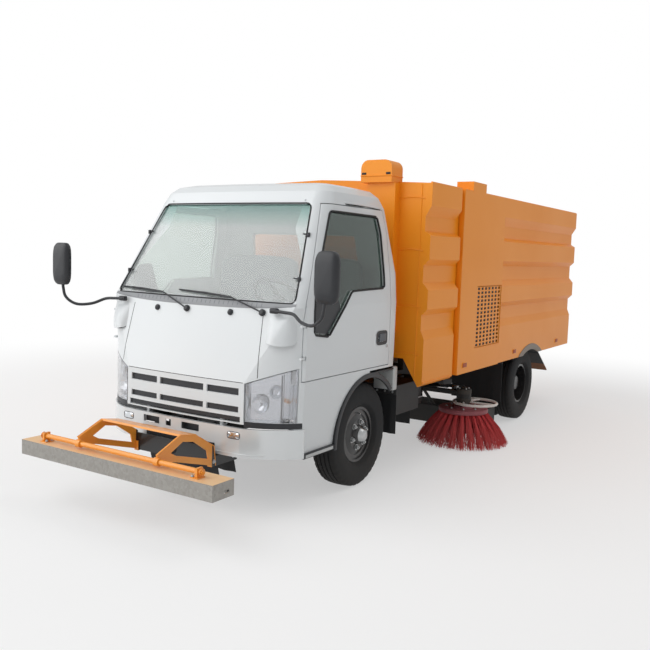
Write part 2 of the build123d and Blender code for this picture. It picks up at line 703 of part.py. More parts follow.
def door():
    panel = (CAB_OUTER - CAB_CAVITY) & side_zone(DOOR_OUTLINE)
    panel -= side_zone(DOOR_WINDOW)
    # the front edge is round about the hinge line
    square = box(HINGE_X, HINGE_X + 30, DOOR_FRONT - 10, HINGE_Y, DOOR_SILL - 10, 1480)
    panel -= square - bar_z(DOOR_PIN_INSET, HINGE_X, HINGE_Y, DOOR_SILL - 20, 1490)
    panel -= box(HINGE_X + 2, HINGE_X + 30, DOOR_FRONT - 10, HINGE_Y + DOOR_NICK, *DOOR_NICK_Z)
    # the inner corner is cut back, so that it swings clear of the dashboard
    panel -= box(500, HINGE_X - DOOR_JAMB, DOOR_FRONT - 20, DOOR_FRONT + JAMB_BACK, DOOR_SILL - 10, 1480)
    for piece in hinge_lugs(5) + hinge_pins(RUN_FIT):
        panel -= piece
    return panel


def door_glass():
    return glass(side_zone(DOOR_WINDOW))


def grille_panel():
    skin = CAB_OUTER - cab_form(CAB_SKIN, CAB_HEM, CAB_FLOOR)
    panel = skin & box(-GRILLE_X, GRILLE_X, -1300, -1000, CAB_CHIN, GRILLE_TOP)
    for z0, z1 in GRILLE_ROWS:
        for x0, x1 in GRILLE_COLUMNS:
            panel -= box(x0, x1, *GRILLE_CUT, z0, z1)
    return panel - box(-GRILLE_GAP_X, GRILLE_GAP_X, *GRILLE_CUT, *GRILLE_GAP_Z)


def headlamps():
    return (CAB_OUTER - cab_form(70, CAB_HEM, 1110)) & lamp_zone()


def dashboard():
    prism = plate_yz(
        [(-1000, 1120), (-640, 1120), (-600, 1180), (-610, 1300), (-700, 1370), (-1000, 1370)], -DASH_X, DASH_X,
    )
    return (prism & CAB_CAVITY) + rod(COLUMN_R, COLUMN_FOOT, COLUMN_TOP)


def steering_wheel():
    lean = Plane(origin=(COLUMN_TOP[0], at(COLUMN_TOP[1]), COLUMN_TOP[2]), z_dir=COLUMN_DIR)
    rim = Pos(0, 0, 45) * Torus(STEER_R, STEER_RIM_R)
    hub = Pos(0, 0, 25.3) * Cylinder(45, 50)
    spoke = Pos(0, 0, 38) * Box(2 * STEER_R - 10, 34, 14)
    return lean * (rim + hub + spoke)


def seats():
    solids = []
    base, cushion_top = SEAT_Z
    for x0, x1 in SEATS:
        solids.append(box(x0, x1, *SEAT_Y, base, cushion_top))
        solids.append(plate_yz(
            [(130, cushion_top), (262, cushion_top), (300, SEAT_BACK_TOP), (210, SEAT_BACK_TOP)],
            x0 + 10, x1 - 10,
        ))
        solids.append(box(x0 + 30, x1 - 30, SEAT_Y[0] + 40, SEAT_Y[1] - 20, COVER_TOP, base))
    return solids


def mirror_side():
    arm = rod(11, (855, -940, 1392), (985, -1085, 1345))
    arm += rod(11, (985, -1085, 1345), (1215, -1195, 1440))
    arm += rod(11, (1215, -1195, 1440), (1235, -1200, 1700))
    arm += Sphere(11).moved(Location((985, at(-1085), 1345)))
    arm += Sphere(11).moved(Location((1215, at(-1195), 1440)))
    arm += box(835, 868, -965, -915, 1370, 1410)
    head = box(1155, 1325, -1235, -1175, 1490, 1810)
    head = fillet(head.edges().filter_by(Axis.Y), 28)
    return arm + head - CAB_OUTER


def wheel_liners():
    sleeve = bar_x(ARCH_R, 560, 884, 0, AXLE_Z) - bar_x(ARCH_R - 9, 500, 950, 0, AXLE_Z)
    front = sleeve & box(500, 950, -600, 0, CAB_HEM, 1000)
    top = box(560, 884, 0, 395, CAB_FLOOR - 30, CAB_FLOOR - 18)
    flap = box(700, 872, 395, 455, 700, CAB_FLOOR - 8)
    return both(front + top + box(560, 884, -2, 4, AXLE_Z + ARCH_R - 9, CAB_FLOOR - 18)) + both(flap)


# ---------------------------------------------------------------- bumper
def bumper_face(grow, back):
    """Plan outline of the bumper, following the cab's front."""
    _, front, corner_x, corner_y, side_x, side_y, bulge, _ = cab_row(CAB_CHIN)
    front -= grow
    corner_y -= grow
    side_x += grow * 0.4
    chord = Vector(side_x - corner_x, side_y - corner_y)
    out = Vector(chord.Y, -chord.X).normalized() * bulge
    mid_x = (corner_x + side_x) / 2 + out.X
    mid_y = (corner_y + side_y) / 2 + out.Y
    edges = [
        ThreePointArc((-corner_x, at(corner_y)), (0, at(front)), (corner_x, at(corner_y))),
        ThreePointArc((corner_x, at(corner_y)), (mid_x, at(mid_y)), (side_x, at(side_y))),
        Line((side_x, at(side_y)), (side_x, at(back))),
        Line((side_x, at(back)), (-side_x, at(back))),
        Line((-side_x, at(back)), (-side_x, at(side_y))),
        ThreePointArc((-side_x, at(side_y)), (-mid_x, at(mid_y)), (-corner_x, at(corner_y))),
    ]
    return make_face(Wire(edges))


def front_bumper():
    height = BUMPER_TOP - BUMPER_BOTTOM
    outer = Pos(0, 0, BUMPER_BOTTOM) * extrude(bumper_face(BUMPER_STAND, BUMPER_BACK), amount=height)
    skin = extrude(bumper_face(BUMPER_STAND - BUMPER_T, BUMPER_BACK + 68), amount=height + 1)
    shell = outer - Pos(0, 0, BUMPER_BOTTOM - 5) * skin
    shell -= Pos(0, 0, BUMPER_BOTTOM + BUMPER_LIP) * extrude(bumper_face(7, BUMPER_BACK + 68), amount=height)
    for x0, x1 in BUMPER_SLOTS:
        shell -= box(x0, x1, -1300, -1100, *BUMPER_SLOT_Z)
    # arms back to the rails
    shell += both(box(RAIL_X - 45, WEB_X, -1140, -RAIL_FRONT, 532, 570))
    return shell


# ---------------------------------------------------------------- steering and wheels
def knuckle():
    x0 = KINGPIN_X - 32
    low = KNUCKLE_LOW
    high = KNUCKLE_HIGH
    piece = box(x0, KNUCKLE_X, -KNUCKLE_HALF, KNUCKLE_HALF, low, low + KNUCKLE_T)
    piece += box(x0, KNUCKLE_X, -KNUCKLE_HALF, KNUCKLE_HALF, high - KNUCKLE_T, high)
    piece += box(KNUCKLE_X - 16, KNUCKLE_X, -KNUCKLE_HALF, KNUCKLE_HALF, low, high)
    piece += bar_z(KINGPIN_R, KINGPIN_X, 0, low, high)
    piece += bar_x(SPINDLE_R, KNUCKLE_X, SPINDLE_X, 0, AXLE_Z)
    half = KNUCKLE_ARM_W / 2
    piece += box(KINGPIN_X - half, KINGPIN_X + half, 30, STEER_ARM + 16, low, low + 20)
    piece += bar_z(TIE_PIN_R, KINGPIN_X, STEER_ARM, low - 30, low)
    return piece


def tie_rod():
    end = KINGPIN_X - 15
    bar = bar_x(TIE_ROD_R, -end, end, STEER_ARM, TIE_ROD_Z)
    bar += both(bar_z(TIE_EYE_R, KINGPIN_X, STEER_ARM, TIE_ROD_Z - 10, TIE_ROD_Z + 10))
    return bar - both(bar_z(TIE_PIN_R + RUN_FIT, KINGPIN_X, STEER_ARM, TIE_ROD_Z - 30, TIE_ROD_Z + 30))


def turned(points, y):
    """Ring turned about the wheel's axle from (x, radius) points."""
    face = make_face(Plane.XY * Polyline(*[(x, r) for x, r in points], close=True))
    return Pos(0, at(y), AXLE_Z) * revolve(face, Axis.X)


def tyre(x, y):
    half = TYRE_W / 2
    bead = RIM_W / 2 - 4.3
    # half profile from the bead to the tread's shoulder: x from the centre plane, radius
    side = [
        (bead, BEAD_R), (bead, FLANGE_R + 1), (half - 6, 245), (half, 300), (half - 10, 368),
        (half - 30, 398),
    ]
    points = [(-dx, r) for dx, r in side] + [(0, TYRE_R)] + list(reversed(side))
    return turned([(x + dx, r) for dx, r in points], y)


def rim_ring(x):
    """Barrel and flanges of one wheel, as (x, radius) points."""
    half = RIM_W / 2
    return [
        (x - half, RIM_R - RIM_WALL), (x + half, RIM_R - RIM_WALL), (x + half, FLANGE_R - 2),
        (x + half - 4, FLANGE_R - 2), (x + half - 4, RIM_R), (x - half + 4, RIM_R),
        (x - half + 4, FLANGE_R - 2), (x - half, FLANGE_R - 2),
    ]


def front_rim():
    ring = turned(rim_ring(FRONT_TYRE_X), 0)
    inner = RIM_R - RIM_WALL
    bore = SPINDLE_R + RUN_FIT
    # hub and dished disc: x, radius
    disc = [
        (693, 60), (693, 150), (758, 150), (780, 168), (780, inner + 2), (790, inner + 2), (790, 160),
        (806, 120), (806, 78), (822, 70), (838, 55), (838, 0.0), (806, 0.0), (806, bore), (693, bore),
    ]
    return ring + turned(disc, 0)


def rear_rim():
    twin = REAR_TYRE_X - TYRE_W - TWIN_GAP
    inner = RIM_R - RIM_WALL
    piece = turned(rim_ring(REAR_TYRE_X), WHEELBASE) + turned(rim_ring(twin), WHEELBASE)
    bore = REAR_SPINDLE_R + RUN_FIT
    hub = [
        (668, bore), (668, 150), (676, 150), (676, inner + 2), (684, inner + 2), (684, 158), (727, 158),
        (727, 165), (790, 165), (790, inner + 2), (800, inner + 2), (800, 155), (757, 155), (757, 78),
        (890, 78), (890, 0.0), (852, 0.0), (852, bore),
    ]
    return piece + turned(hub, WHEELBASE)


# ---------------------------------------------------------------- body
# half outline of the ribbed side, from the roof edge down: x inset from the crests, height
RIBS = (
    (0.0, BODY_TOP), (0.0, 2190), (RIB_DEPTH, 2107), (RIB_DEPTH, 1987), (0.0, 1955), (0.0, 1762),
    (RIB_DEPTH, 1712), (RIB_DEPTH, 1574), (0.0, 1512), (0.0, 1357), (RIB_DEPTH, 1306), (RIB_DEPTH, 1182),
    (HEM_INSET, 1110), (HEM_INSET, BODY_HEM),
)
FLAT = ((0.0, BODY_TOP), (0.0, BODY_HEM))


def hoop(profile, y0, y1, wall):
    """Roof and both sides of the body along one stretch, open below."""
    right = [(BODY_X - inset, z) for inset, z in profile]
    left = [(-x, z) for x, z in reversed(right)]
    inner_right = [(x - wall, min(z, BODY_TOP - wall)) for x, z in right]
    inner_left = [(-x, z) for x, z in reversed(inner_right)]
    return plate_xz(right + list(reversed(inner_right)) + list(reversed(inner_left)) + left, y0, y1)


def water_tank():
    """Closed tank behind the cab, with its roof hood and the duct on its front."""
    right = [(BODY_X - inset, z) for inset, z in RIBS]
    under = [
        (1000, 716), (860, 940), (RAIL_X, 940), (RAIL_X, RAIL_TOP), (RAIL_X - 60, RAIL_TOP),
        (RAIL_X - 60, 940),
    ]
    half = right + under
    outline = half + [(-x, z) for x, z in reversed(half)]
    tank = plate_xz(outline, TANK_FRONT, TANK_BACK - TANK_STEP)
    groove = BODY_X - RIB_DEPTH
    strip = [(groove, BODY_TOP - 6), (groove, BODY_HEM)] + under
    tank += plate_xz(strip + [(-x, z) for x, z in reversed(strip)], TANK_BACK - TANK_STEP, TANK_BACK)
    hood = box(*HOOD_X, *HOOD_Y, BODY_TOP, HOOD_TOP)
    tank += fillet(hood.edges().filter_by(Axis.Y).group_by(Axis.Z)[-1], HOOD_R)
    return tank + box(*RISER_X, TANK_FRONT - RISER_DEPTH, TANK_FRONT, RISER_FOOT, BODY_TOP)


def arch_cut():
    """Opening over the rear wheels in the lower edge of the body sides."""
    return bar_x(ARCH_LIP_R, -1200, 1200, WHEELBASE, ARCH_LIP_Z)


def hopper_shell():
    front = TANK_BACK + SEAM
    shell = hoop(FLAT, front, BAY_BACK, BODY_WALL) + hoop(RIBS, BAY_BACK, HOPPER_BACK, BODY_WALL)
    inner = BODY_X - HEM_INSET - BODY_WALL + 2
    floor = box(-inner, inner, BAY_BACK, HOPPER_BACK, HOPPER_FLOOR, HOPPER_FLOOR + HOPPER_FLOOR_T)
    bulkhead = box(
        -BODY_X + 95, BODY_X - 95, BAY_BACK + 10, BAY_BACK + 10 + BULKHEAD_T, HOPPER_FLOOR, BODY_TOP - 20,
    )
    bulkhead += box(-inner, inner, BAY_BACK, BAY_BACK + 20, HOPPER_FLOOR, BODY_TOP - 20)
    shell += floor + bulkhead
    shell -= arch_cut() & box(-1200, 1200, WHEELBASE - 860, WHEELBASE + 840, 300, HOPPER_FLOOR)
    # duct boxes that rise above the roof edge
    shell += both(box(BODY_X - 160, BODY_X, 1450, 1760, BODY_TOP - 40, BODY_TOP + 88))
    # openings for the side grilles
    shell -= both(box(900, 1200, 1655, 2285, 950, 1530))
    # lugs that carry the tailgate
    lug = plate_yz(
        [(HOPPER_BACK - 60, GATE_PIN_Z + 20), (HOPPER_BACK - 60, GATE_PIN_Z + 62),
         (HOPPER_BACK, GATE_PIN_Z + 62), (HOPPER_BACK + 56, GATE_PIN_Z + 18),
         (HOPPER_BACK + 56, GATE_PIN_Z - 20), (HOPPER_BACK + 12, GATE_PIN_Z - 20),
         (HOPPER_BACK + 2, GATE_PIN_Z + 20)],
        650, 670,
    )
    return shell + both(lug + bar_x(GATE_PIN_R, 660, 705, HOPPER_BACK + 34, GATE_PIN_Z))


def hopper_beams():
    inner = RAIL_X + TIP_SIDE_GAP
    beam = box(inner, inner + TIP_BEAM_W, BAY_BACK, HOPPER_BACK - 10, TIP_Z + 30, HOPPER_FLOOR)
    ear = plate_yz(
        [(TIP_Y - 80, HOPPER_FLOOR), (TIP_Y - 38, TIP_Z - 30), (TIP_Y + 38, TIP_Z - 30),
         (TIP_Y + 80, HOPPER_FLOOR)],
        inner, inner + TIP_LUG_T,
    )
    ear -= bar_x(TIP_PIN_R + RUN_FIT, 300, 500, TIP_Y, TIP_Z)
    beam -= bar_x(60, 300, 500, TIP_Y, TIP_Z)
    # the rib that carries the ram lugs stands behind the free eye's drift
    rib_y = RAM_EYE_Y + RAM_DRIFT + RAM_EYE_R + GAP
    rib = box(-inner, inner, rib_y, rib_y + 50, TIP_Z + 60, HOPPER_FLOOR)
    lugs = []
    for x in (RAM_X - 46, RAM_X + 34):
        lugs.append(box(x, x + 12, RAM_EYE_Y - 40, rib_y + 10, RAM_EYE_Z - 35, HOPPER_FLOOR))
    whole = both(beam + ear) + rib
    for lug in lugs:
        whole += both(lug)
    return whole


def side_grilles():
    return both(box(BODY_X - 24, BODY_X - 4, 1655, 2285, 950, 1530))


def rear_mudguards():
    outer, inner = ARCH_LIP_R, ARCH_LIP_R - MUDGUARD_T
    ring = bar_x(outer, 500, BODY_X - HEM_INSET - BODY_WALL, WHEELBASE, ARCH_LIP_Z)
    ring -= bar_x(inner, 480, 1100, WHEELBASE, ARCH_LIP_Z)
    ring &= box(480, 1100, WHEELBASE - 430, WHEELBASE + 430, 700, 870)
    top, foot = WHEELBASE + 420, WHEELBASE + FLAP_REACH
    flap = plate_yz([(top, 722), (foot, FLAP_FOOT), (foot - 7, FLAP_FOOT - 10), (top - 10, 712)], *FLAP_X)
    return [both(ring), both(flap)]


def tailgate():
    gate = box(-1000, 1000, GATE_FRONT, REAR_REACH - 18, 762, 2280)
    gate -= box(-940, 940, GATE_FRONT + 8, REAR_REACH + 5, 820, 2220)
    gate += box(-1000, 1000, GATE_FRONT, GATE_FRONT + 14, 762, 2280)
    for z in (1180, 1560, 1940):
        gate += box(-970, 970, GATE_FRONT, REAR_REACH, z - 45, z + 45)
    gate += both(box(677, 697, HOPPER_BACK + 16, HOPPER_BACK + 52, 2200, GATE_PIN_Z + 14))
    return gate - both(bar_x(GATE_PIN_R + RUN_FIT, 640, 720, HOPPER_BACK + 34, GATE_PIN_Z))


def aux_engine():
    block = box(-AUX_X, AUX_X, *AUX_Y, *AUX_Z)
    return block + both(box(RAIL_X - 60, RAIL_X, *AUX_Y, RAIL_TOP, AUX_Z[0]))


# ---------------------------------------------------------------- rams
RAM_LENGTH = math.hypot(RAM_EYE_Y - RAM_Y, RAM_EYE_Z - RAM_Z)
RAM_DIR = ((RAM_EYE_Y - RAM_Y) / RAM_LENGTH, (RAM_EYE_Z - RAM_Z) / RAM_LENGTH)


def ram_point(along, x=RAM_X):
    return (x, RAM_Y + RAM_DIR[0] * along, RAM_Z + RAM_DIR[1] * along)


def ram_barrel():
    barrel = rod(RAM_R, ram_point(60), ram_point(RAM_BARREL))
    barrel += bar_x(42, RAM_X - 22, RAM_X + 22, RAM_Y, RAM_Z) + rod(30, ram_point(20), ram_point(70))
    barrel -= bar_x(RAM_PIN_R + RUN_FIT, RAM_X - 60, RAM_X + 60, RAM_Y, RAM_Z)
    return barrel - rod(RAM_ROD_R + RUN_FIT, ram_point(150), ram_point(RAM_BARREL + 20))


def ram_rod():
    piece = rod(RAM_ROD_R, ram_point(200), ram_point(RAM_LENGTH - 20))
    return piece + bar_x(RAM_EYE_R, RAM_X - 25, RAM_X + 25, RAM_EYE_Y, RAM_EYE_Z)


# ---------------------------------------------------------------- brooms and suction
def broom_arm():
    guard = Pos(GUARD_X, at(GUARD_Y), GUARD_Z) * Torus(GUARD_R, GUARD_TUBE_R)
    for angle in GUARD_STAYS:
        turn = math.radians(angle)
        end = (GUARD_X + GUARD_R * math.cos(turn), GUARD_Y + GUARD_R * math.sin(turn), STAY_Z)
        share = (MOTOR_R - 12) / math.dist((BROOM_X, BROOM_Y), end[:2])
        start = (BROOM_X + (end[0] - BROOM_X) * share, BROOM_Y + (end[1] - BROOM_Y) * share, STAY_Z)
        guard += rod(STAY_R, start, end)
    arm = box(ARM_PIN_X - 5, BROOM_X, BROOM_Y - ARM_HALF, BROOM_Y + ARM_HALF, *ARM_Z)
    arm += bar_y(SLEEVE_R, ARM_PIN_X, BROOM_Y - SLEEVE_HALF, BROOM_Y + SLEEVE_HALF, ARM_PIN_Z)
    arm += box(ARM_PIN_X, ARM_PIN_X + 60, BROOM_Y - ARM_HALF, BROOM_Y + ARM_HALF, ARM_Z[0] + 15, ARM_Z[1] + 15)
    arm += bar_z(MOTOR_R, BROOM_X, BROOM_Y, *MOTOR_Z)
    arm += guard
    arm -= bar_y(ARM_PIN_R + RUN_FIT, ARM_PIN_X, BROOM_Y - 120, BROOM_Y + 120, ARM_PIN_Z)
    return arm - bar_z(BROOM_SHAFT_R + RUN_FIT, BROOM_X, BROOM_Y, MOTOR_Z[0] - 10, BROOM_SHAFT_TOP + 10)


def broom():
    """Plate, shaft and the cone of bristles as one turned solid."""
    top = BROOM_PLATE_Z + BROOM_PLATE_T
    under = BROOM_PLATE_Z - BROOM_HUB_T
    points = [
        (0, under), (BROOM_PLATE_R - 90, under), (BROOM_R - 120, BRISTLE_TIP), (BROOM_R, BRISTLE_TIP),
        (BROOM_PLATE_R, BROOM_PLATE_Z), (BROOM_PLATE_R, top), (BROOM_SHAFT_R, top),
        (BROOM_SHAFT_R, BROOM_SHAFT_TOP), (0, BROOM_SHAFT_TOP),
    ]
    face = make_face(Plane.XZ * Polyline(*points, close=True))
    return Pos(BROOM_X, at(BROOM_Y), 0) * revolve(face, Axis.Z)


def suction_nozzle():
    front = DUCT_Y - NOZZLE_HALF_Y
    back = DUCT_Y + NOZZLE_HALF_Y
    head = box(-NOZZLE_HALF_X, NOZZLE_HALF_X, front, back, NOZZLE_BOTTOM, NOZZLE_TOP)
    inner = NOZZLE_HALF_X - NOZZLE_T
    head -= box(-inner, inner, front + NOZZLE_T, back - NOZZLE_T, 0, NOZZLE_TOP - 20)
    head += bar_z(85, DUCT_X, DUCT_Y, NOZZLE_TOP, 380)
    head -= bar_z(78, DUCT_X, DUCT_Y, 150, 400)
    arm = rod(16, (305, NOZZLE_PIN_Y, NOZZLE_PIN_Z), (305, front + 50, NOZZLE_TOP - 15))
    arm += bar_x(26, 292, 318, NOZZLE_PIN_Y, NOZZLE_PIN_Z)
    head += both(arm)
    return head - both(bar_x(NOZZLE_PIN_R + RUN_FIT, 280, 325, NOZZLE_PIN_Y, NOZZLE_PIN_Z))


def suction_duct():
    duct = bar_z(DUCT_R, DUCT_X, DUCT_Y, 500, HOPPER_FLOOR - 5) + bar_z(135, DUCT_X, DUCT_Y, 330, 520)
    duct -= bar_z(DUCT_R - 8, DUCT_X, DUCT_Y, 400, HOPPER_FLOOR + 20)
    duct -= bar_z(125, DUCT_X, DUCT_Y, 300, 510)
    return duct + box(DUCT_X + DUCT_R - 4, -RAIL_X, DUCT_Y - 30, DUCT_Y + 30, 600, 640)


# ---------------------------------------------------------------- nodes
save("chassis_frame", chassis_frame())
save("underrun_bar", underrun_bar())
save("tail_lamps", tail_lamps())
save("front_axle", front_axle())
save("rear_axle", rear_axle())
save("leaf_springs", both(leaf_spring(0, AXLE_Z + 33)), both(leaf_spring(WHEELBASE, AXLE_Z + 55)))
save("engine_block", engine_block())
save("gearbox", gearbox())
save("propshaft", propshaft())
save("fuel_tank", fuel_tank())
save("battery_box", battery_box())
save("exhaust", exhaust())
save("front_bumper", front_bumper())
save("front_bar_mount", front_bar_mount())
save("front_bar_beam", front_bar_beam())
save("front_bar_tube", front_bar_tube())
save("cab_shell", cab_shell())
save("cab_glass", *cab_glass())
save("grille_panel", grille_panel())
save("headlamps", headlamps())
save("dashboard", dashboard())
save("steering_wheel", steering_wheel())
save("seats", *seats())
save("mirrors", both(mirror_side()))
save("wheel_liners", wheel_liners())
save("water_tank", water_tank())
save("aux_engine", aux_engine())
save("suction_duct", suction_duct())
save("suction_nozzle", suction_nozzle())
save("tie_rod", tie_rod())
save("hopper_shell", hopper_shell())
save("hopper_beams", hopper_beams())
save("side_grilles", side_grilles())
save("rear_mudguards", *rear_mudguards())
save("tailgate", tailgate())
save("ram_barrels", both(ram_barrel()))
save("ram_rods", both(ram_rod()))

twin_x = REAR_TYRE_X - TYRE_W - TWIN_GAP
sided = {
    "door": door(),
    "door_glass": door_glass(),
    "knuckle": knuckle(),
    "rim_front": front_rim(),
    "tyre_front": tyre(FRONT_TYRE_X, 0),
    "rim_rear": rear_rim(),
    "tyre_rear": Compound(children=[tyre(REAR_TYRE_X, WHEELBASE), tyre(twin_x, WHEELBASE)]),
    "broom_arm": broom_arm(),
    "broom": broom(),
}
for name, shape in sided.items():
    save(f"{name}_left", shape)
    save(f"{name}_right", flip(shape))
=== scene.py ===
# %% [markdown]
# # A street sweeper truck, dressed piece by piece
# The engineering model arrives as a fixed frame: every body and every solid is already in place, in metres.
# What follows gives each surface the finish of the real one, and adds the pieces that are too small or too
# soft for the engineering model. The frame is loaded first.

# %% Load the frame
import json
import random
from math import acos, ceil, cos, exp, pi, radians, sin, sqrt, tau

import bmesh
import bpy
from mathutils import Matrix, Vector
from mathutils.bvhtree import BVHTree

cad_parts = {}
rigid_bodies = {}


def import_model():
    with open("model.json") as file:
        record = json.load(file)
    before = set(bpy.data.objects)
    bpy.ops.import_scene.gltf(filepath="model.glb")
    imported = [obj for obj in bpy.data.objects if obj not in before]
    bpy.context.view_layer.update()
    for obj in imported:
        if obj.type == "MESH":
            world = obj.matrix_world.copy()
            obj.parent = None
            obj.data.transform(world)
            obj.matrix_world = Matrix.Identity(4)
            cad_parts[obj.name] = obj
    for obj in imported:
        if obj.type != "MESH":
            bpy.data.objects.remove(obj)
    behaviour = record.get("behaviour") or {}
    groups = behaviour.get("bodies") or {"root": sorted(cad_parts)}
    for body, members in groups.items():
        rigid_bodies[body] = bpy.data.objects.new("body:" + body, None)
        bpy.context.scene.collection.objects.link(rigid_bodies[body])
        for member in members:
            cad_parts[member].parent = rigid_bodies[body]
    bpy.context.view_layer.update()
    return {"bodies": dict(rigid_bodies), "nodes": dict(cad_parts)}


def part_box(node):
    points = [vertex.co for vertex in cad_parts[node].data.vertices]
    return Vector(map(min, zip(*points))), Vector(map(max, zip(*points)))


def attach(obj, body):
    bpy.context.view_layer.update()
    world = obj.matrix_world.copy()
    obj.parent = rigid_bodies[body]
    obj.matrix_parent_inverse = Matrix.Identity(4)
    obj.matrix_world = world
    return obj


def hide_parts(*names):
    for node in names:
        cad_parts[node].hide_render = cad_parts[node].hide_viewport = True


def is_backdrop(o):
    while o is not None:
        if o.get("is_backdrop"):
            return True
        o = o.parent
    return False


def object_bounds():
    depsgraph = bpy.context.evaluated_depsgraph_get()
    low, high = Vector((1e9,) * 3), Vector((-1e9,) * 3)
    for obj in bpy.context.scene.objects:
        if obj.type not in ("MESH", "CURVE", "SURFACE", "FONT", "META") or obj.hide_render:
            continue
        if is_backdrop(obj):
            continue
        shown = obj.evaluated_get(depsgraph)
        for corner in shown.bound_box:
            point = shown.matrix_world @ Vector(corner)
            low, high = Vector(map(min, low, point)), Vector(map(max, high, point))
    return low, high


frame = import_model()

# %% [markdown]
# Lengths along the truck are measured from the front axle, as a body builder does, since that is what the
# cab, the body and the brooms are all set out from. The axle's place is read from the front tyre.

# %% Where the front axle is
low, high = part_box("tyre_front_left")
AXLE_Y = (low[1] + high[1]) / 2
AXLE_Z = (low[2] + high[2]) / 2
WHEELBASE = (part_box("tyre_rear_left")[0][1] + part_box("tyre_rear_left")[1][1]) / 2 - AXLE_Y
print("front axle at", round(AXLE_Y, 3), "wheelbase", round(WHEELBASE, 3))

# %% [markdown]
# A finish is written with the colour a paint card would give, as an sRGB hex value. Blender works with
# linear light, so one function turns the hex value into that.

# %% Colours and nodes
def srgb(code):
    """An sRGB hex colour as linear RGBA."""
    parts = [int(code[i:i + 2], 16) / 255 for i in (1, 3, 5)]
    return tuple(c / 12.92 if c <= 0.04045 else ((c + 0.055) / 1.055) ** 2.4 for c in parts) + (1.0,)


def at(*numbers):
    """A point, or a way to go."""
    return Vector(numbers)


def node(tree, kind, props=None, values=None, links=None):
    """Adds one shader node with its settings, its fixed values and what feeds it."""
    made = tree.nodes.new("ShaderNode" + kind)
    for key, value in (props or {}).items():
        setattr(made, key, value)
    for key, value in (values or {}).items():
        made.inputs[key].default_value = value
    for key, source in (links or {}).items():
        tree.links.new(source, made.inputs[key])
    return made


print("middle grey in linear light:", round(srgb("#808080")[0], 3))

# %% [markdown]
# Most of the truck is painted, moulded or rolled. All of these share three things the eye looks for: a
# colour that drifts slightly over the piece, a gloss that isn't quite even, and a fine relief. The drift
# is made from noise whose size is a real length in millimetres, read in the piece's own space so that it
# stays put when the piece moves. Road dust gathers low down, so it is mixed in by height.

# %% The shared surface
DUST = "#8C8274"
COAT_ROUGH = 0.04


def new_finish(name):
    """An empty finish, its node tree and its shader."""
    made = bpy.data.materials.new(name)
    made.use_nodes = True
    return made, made.node_tree, made.node_tree.nodes["Principled BSDF"]


def surface(name, colour, drift, patch_mm, rough, metal=0.0, ior=1.5, coat=0.0, relief_mm=0.0, grain_mm=2.0,
            dust=0.0, dust_top=0.9, sheen=0.0, rough_drift=0.06):
    """A finish with drifting colour, uneven gloss, fine relief and dust low down."""
    made, tree, shader = new_finish(name)
    place = node(tree, "TexCoord").outputs["Object"]
    patches = node(tree, "TexNoise", values={"Scale": 1000 / patch_mm, "Detail": 4.0},
                   links={"Vector": place})
    tint = node(tree, "Mix", {"data_type": "RGBA"}, {6: srgb(colour), 7: srgb(drift)},
                {"Factor": patches.outputs["Fac"]})
    result = tint.outputs[2]
    if dust:
        height = node(tree, "SeparateXYZ", links={"Vector": place}).outputs["Z"]
        settled = node(tree, "MapRange", values={
            "From Min": 0.1, "From Max": dust_top, "To Min": dust, "To Max": 0.0}, links={"Value": height})
        broken = node(tree, "Math", {"operation": "MULTIPLY"},
                      links={0: settled.outputs["Result"], 1: patches.outputs["Fac"]})
        film = node(tree, "Mix", {"data_type": "RGBA"}, {7: srgb(DUST)},
                    {"Factor": broken.outputs["Value"], 6: result})
        result = film.outputs[2]
    tree.links.new(result, shader.inputs["Base Color"])
    gloss = node(tree, "MapRange", values={
        "To Min": max(0.02, rough - rough_drift), "To Max": min(1.0, rough + rough_drift)},
        links={"Value": patches.outputs["Fac"]})
    tree.links.new(gloss.outputs["Result"], shader.inputs["Roughness"])
    fixed = {"Metallic": metal, "Coat Weight": coat, "Coat Roughness": COAT_ROUGH, "Sheen Weight": sheen}
    if not metal:
        fixed["IOR"] = ior
    for key, value in fixed.items():
        shader.inputs[key].default_value = value
    if relief_mm:
        grain = node(tree, "TexNoise", values={"Scale": 1000 / grain_mm, "Detail": 2.0},
                     links={"Vector": place})
        relief = node(tree, "Bump", values={"Strength": 0.6, "Distance": relief_mm / 1000},
                      links={"Height": grain.outputs["Fac"]})
        tree.links.new(relief.outputs["Normal"], shader.inputs["Normal"])
    return made


print("road dust in linear light:", [round(c, 3) for c in srgb(DUST)[:3]])

# %% [markdown]
# Paint. The cab has a stoved two-coat enamel: a white base under clear lacquer, so it is smooth with a
# sharp highlight. The body is sprayed in one thick orange coat over folded sheet, which leaves orange
# peel a few millimetres across. The frame is dipped in plain black, duller and dusty.

# %% Paints
cab_enamel = surface("cab_stoved_enamel_white", "#DEE2E4", "#D7DBDD", 900, 0.32, coat=0.25,
                     relief_mm=0.02, grain_mm=6, dust=0.10, dust_top=0.7)
body_enamel = surface("body_sprayed_enamel_orange", "#FC9C1C", "#F39216", 700, 0.42, ior=1.42,
                      relief_mm=0.10, grain_mm=9, dust=0.16, dust_top=1.0)
bar_enamel = surface("bar_sprayed_enamel_orange", "#F6A238", "#EC942C", 220, 0.36, coat=0.4,
                     relief_mm=0.10, grain_mm=7, dust=0.10, dust_top=0.5)
frame_paint = surface("frame_dipped_paint_black", "#131415", "#1A1B1D", 160, 0.58, relief_mm=0.15,
                      grain_mm=5, dust=0.14)
wheel_enamel = surface("wheel_stoved_enamel_black", "#16171A", "#202226", 90, 0.34, coat=0.3,
                       relief_mm=0.06, grain_mm=4, dust=0.16, dust_top=0.8)
bumper_enamel = surface("bumper_silver_enamel", "#DDE0E1", "#D3D7D9", 500, 0.22, metal=0.25, coat=0.8,
                        relief_mm=0.02, grain_mm=6, dust=0.12, dust_top=0.6)
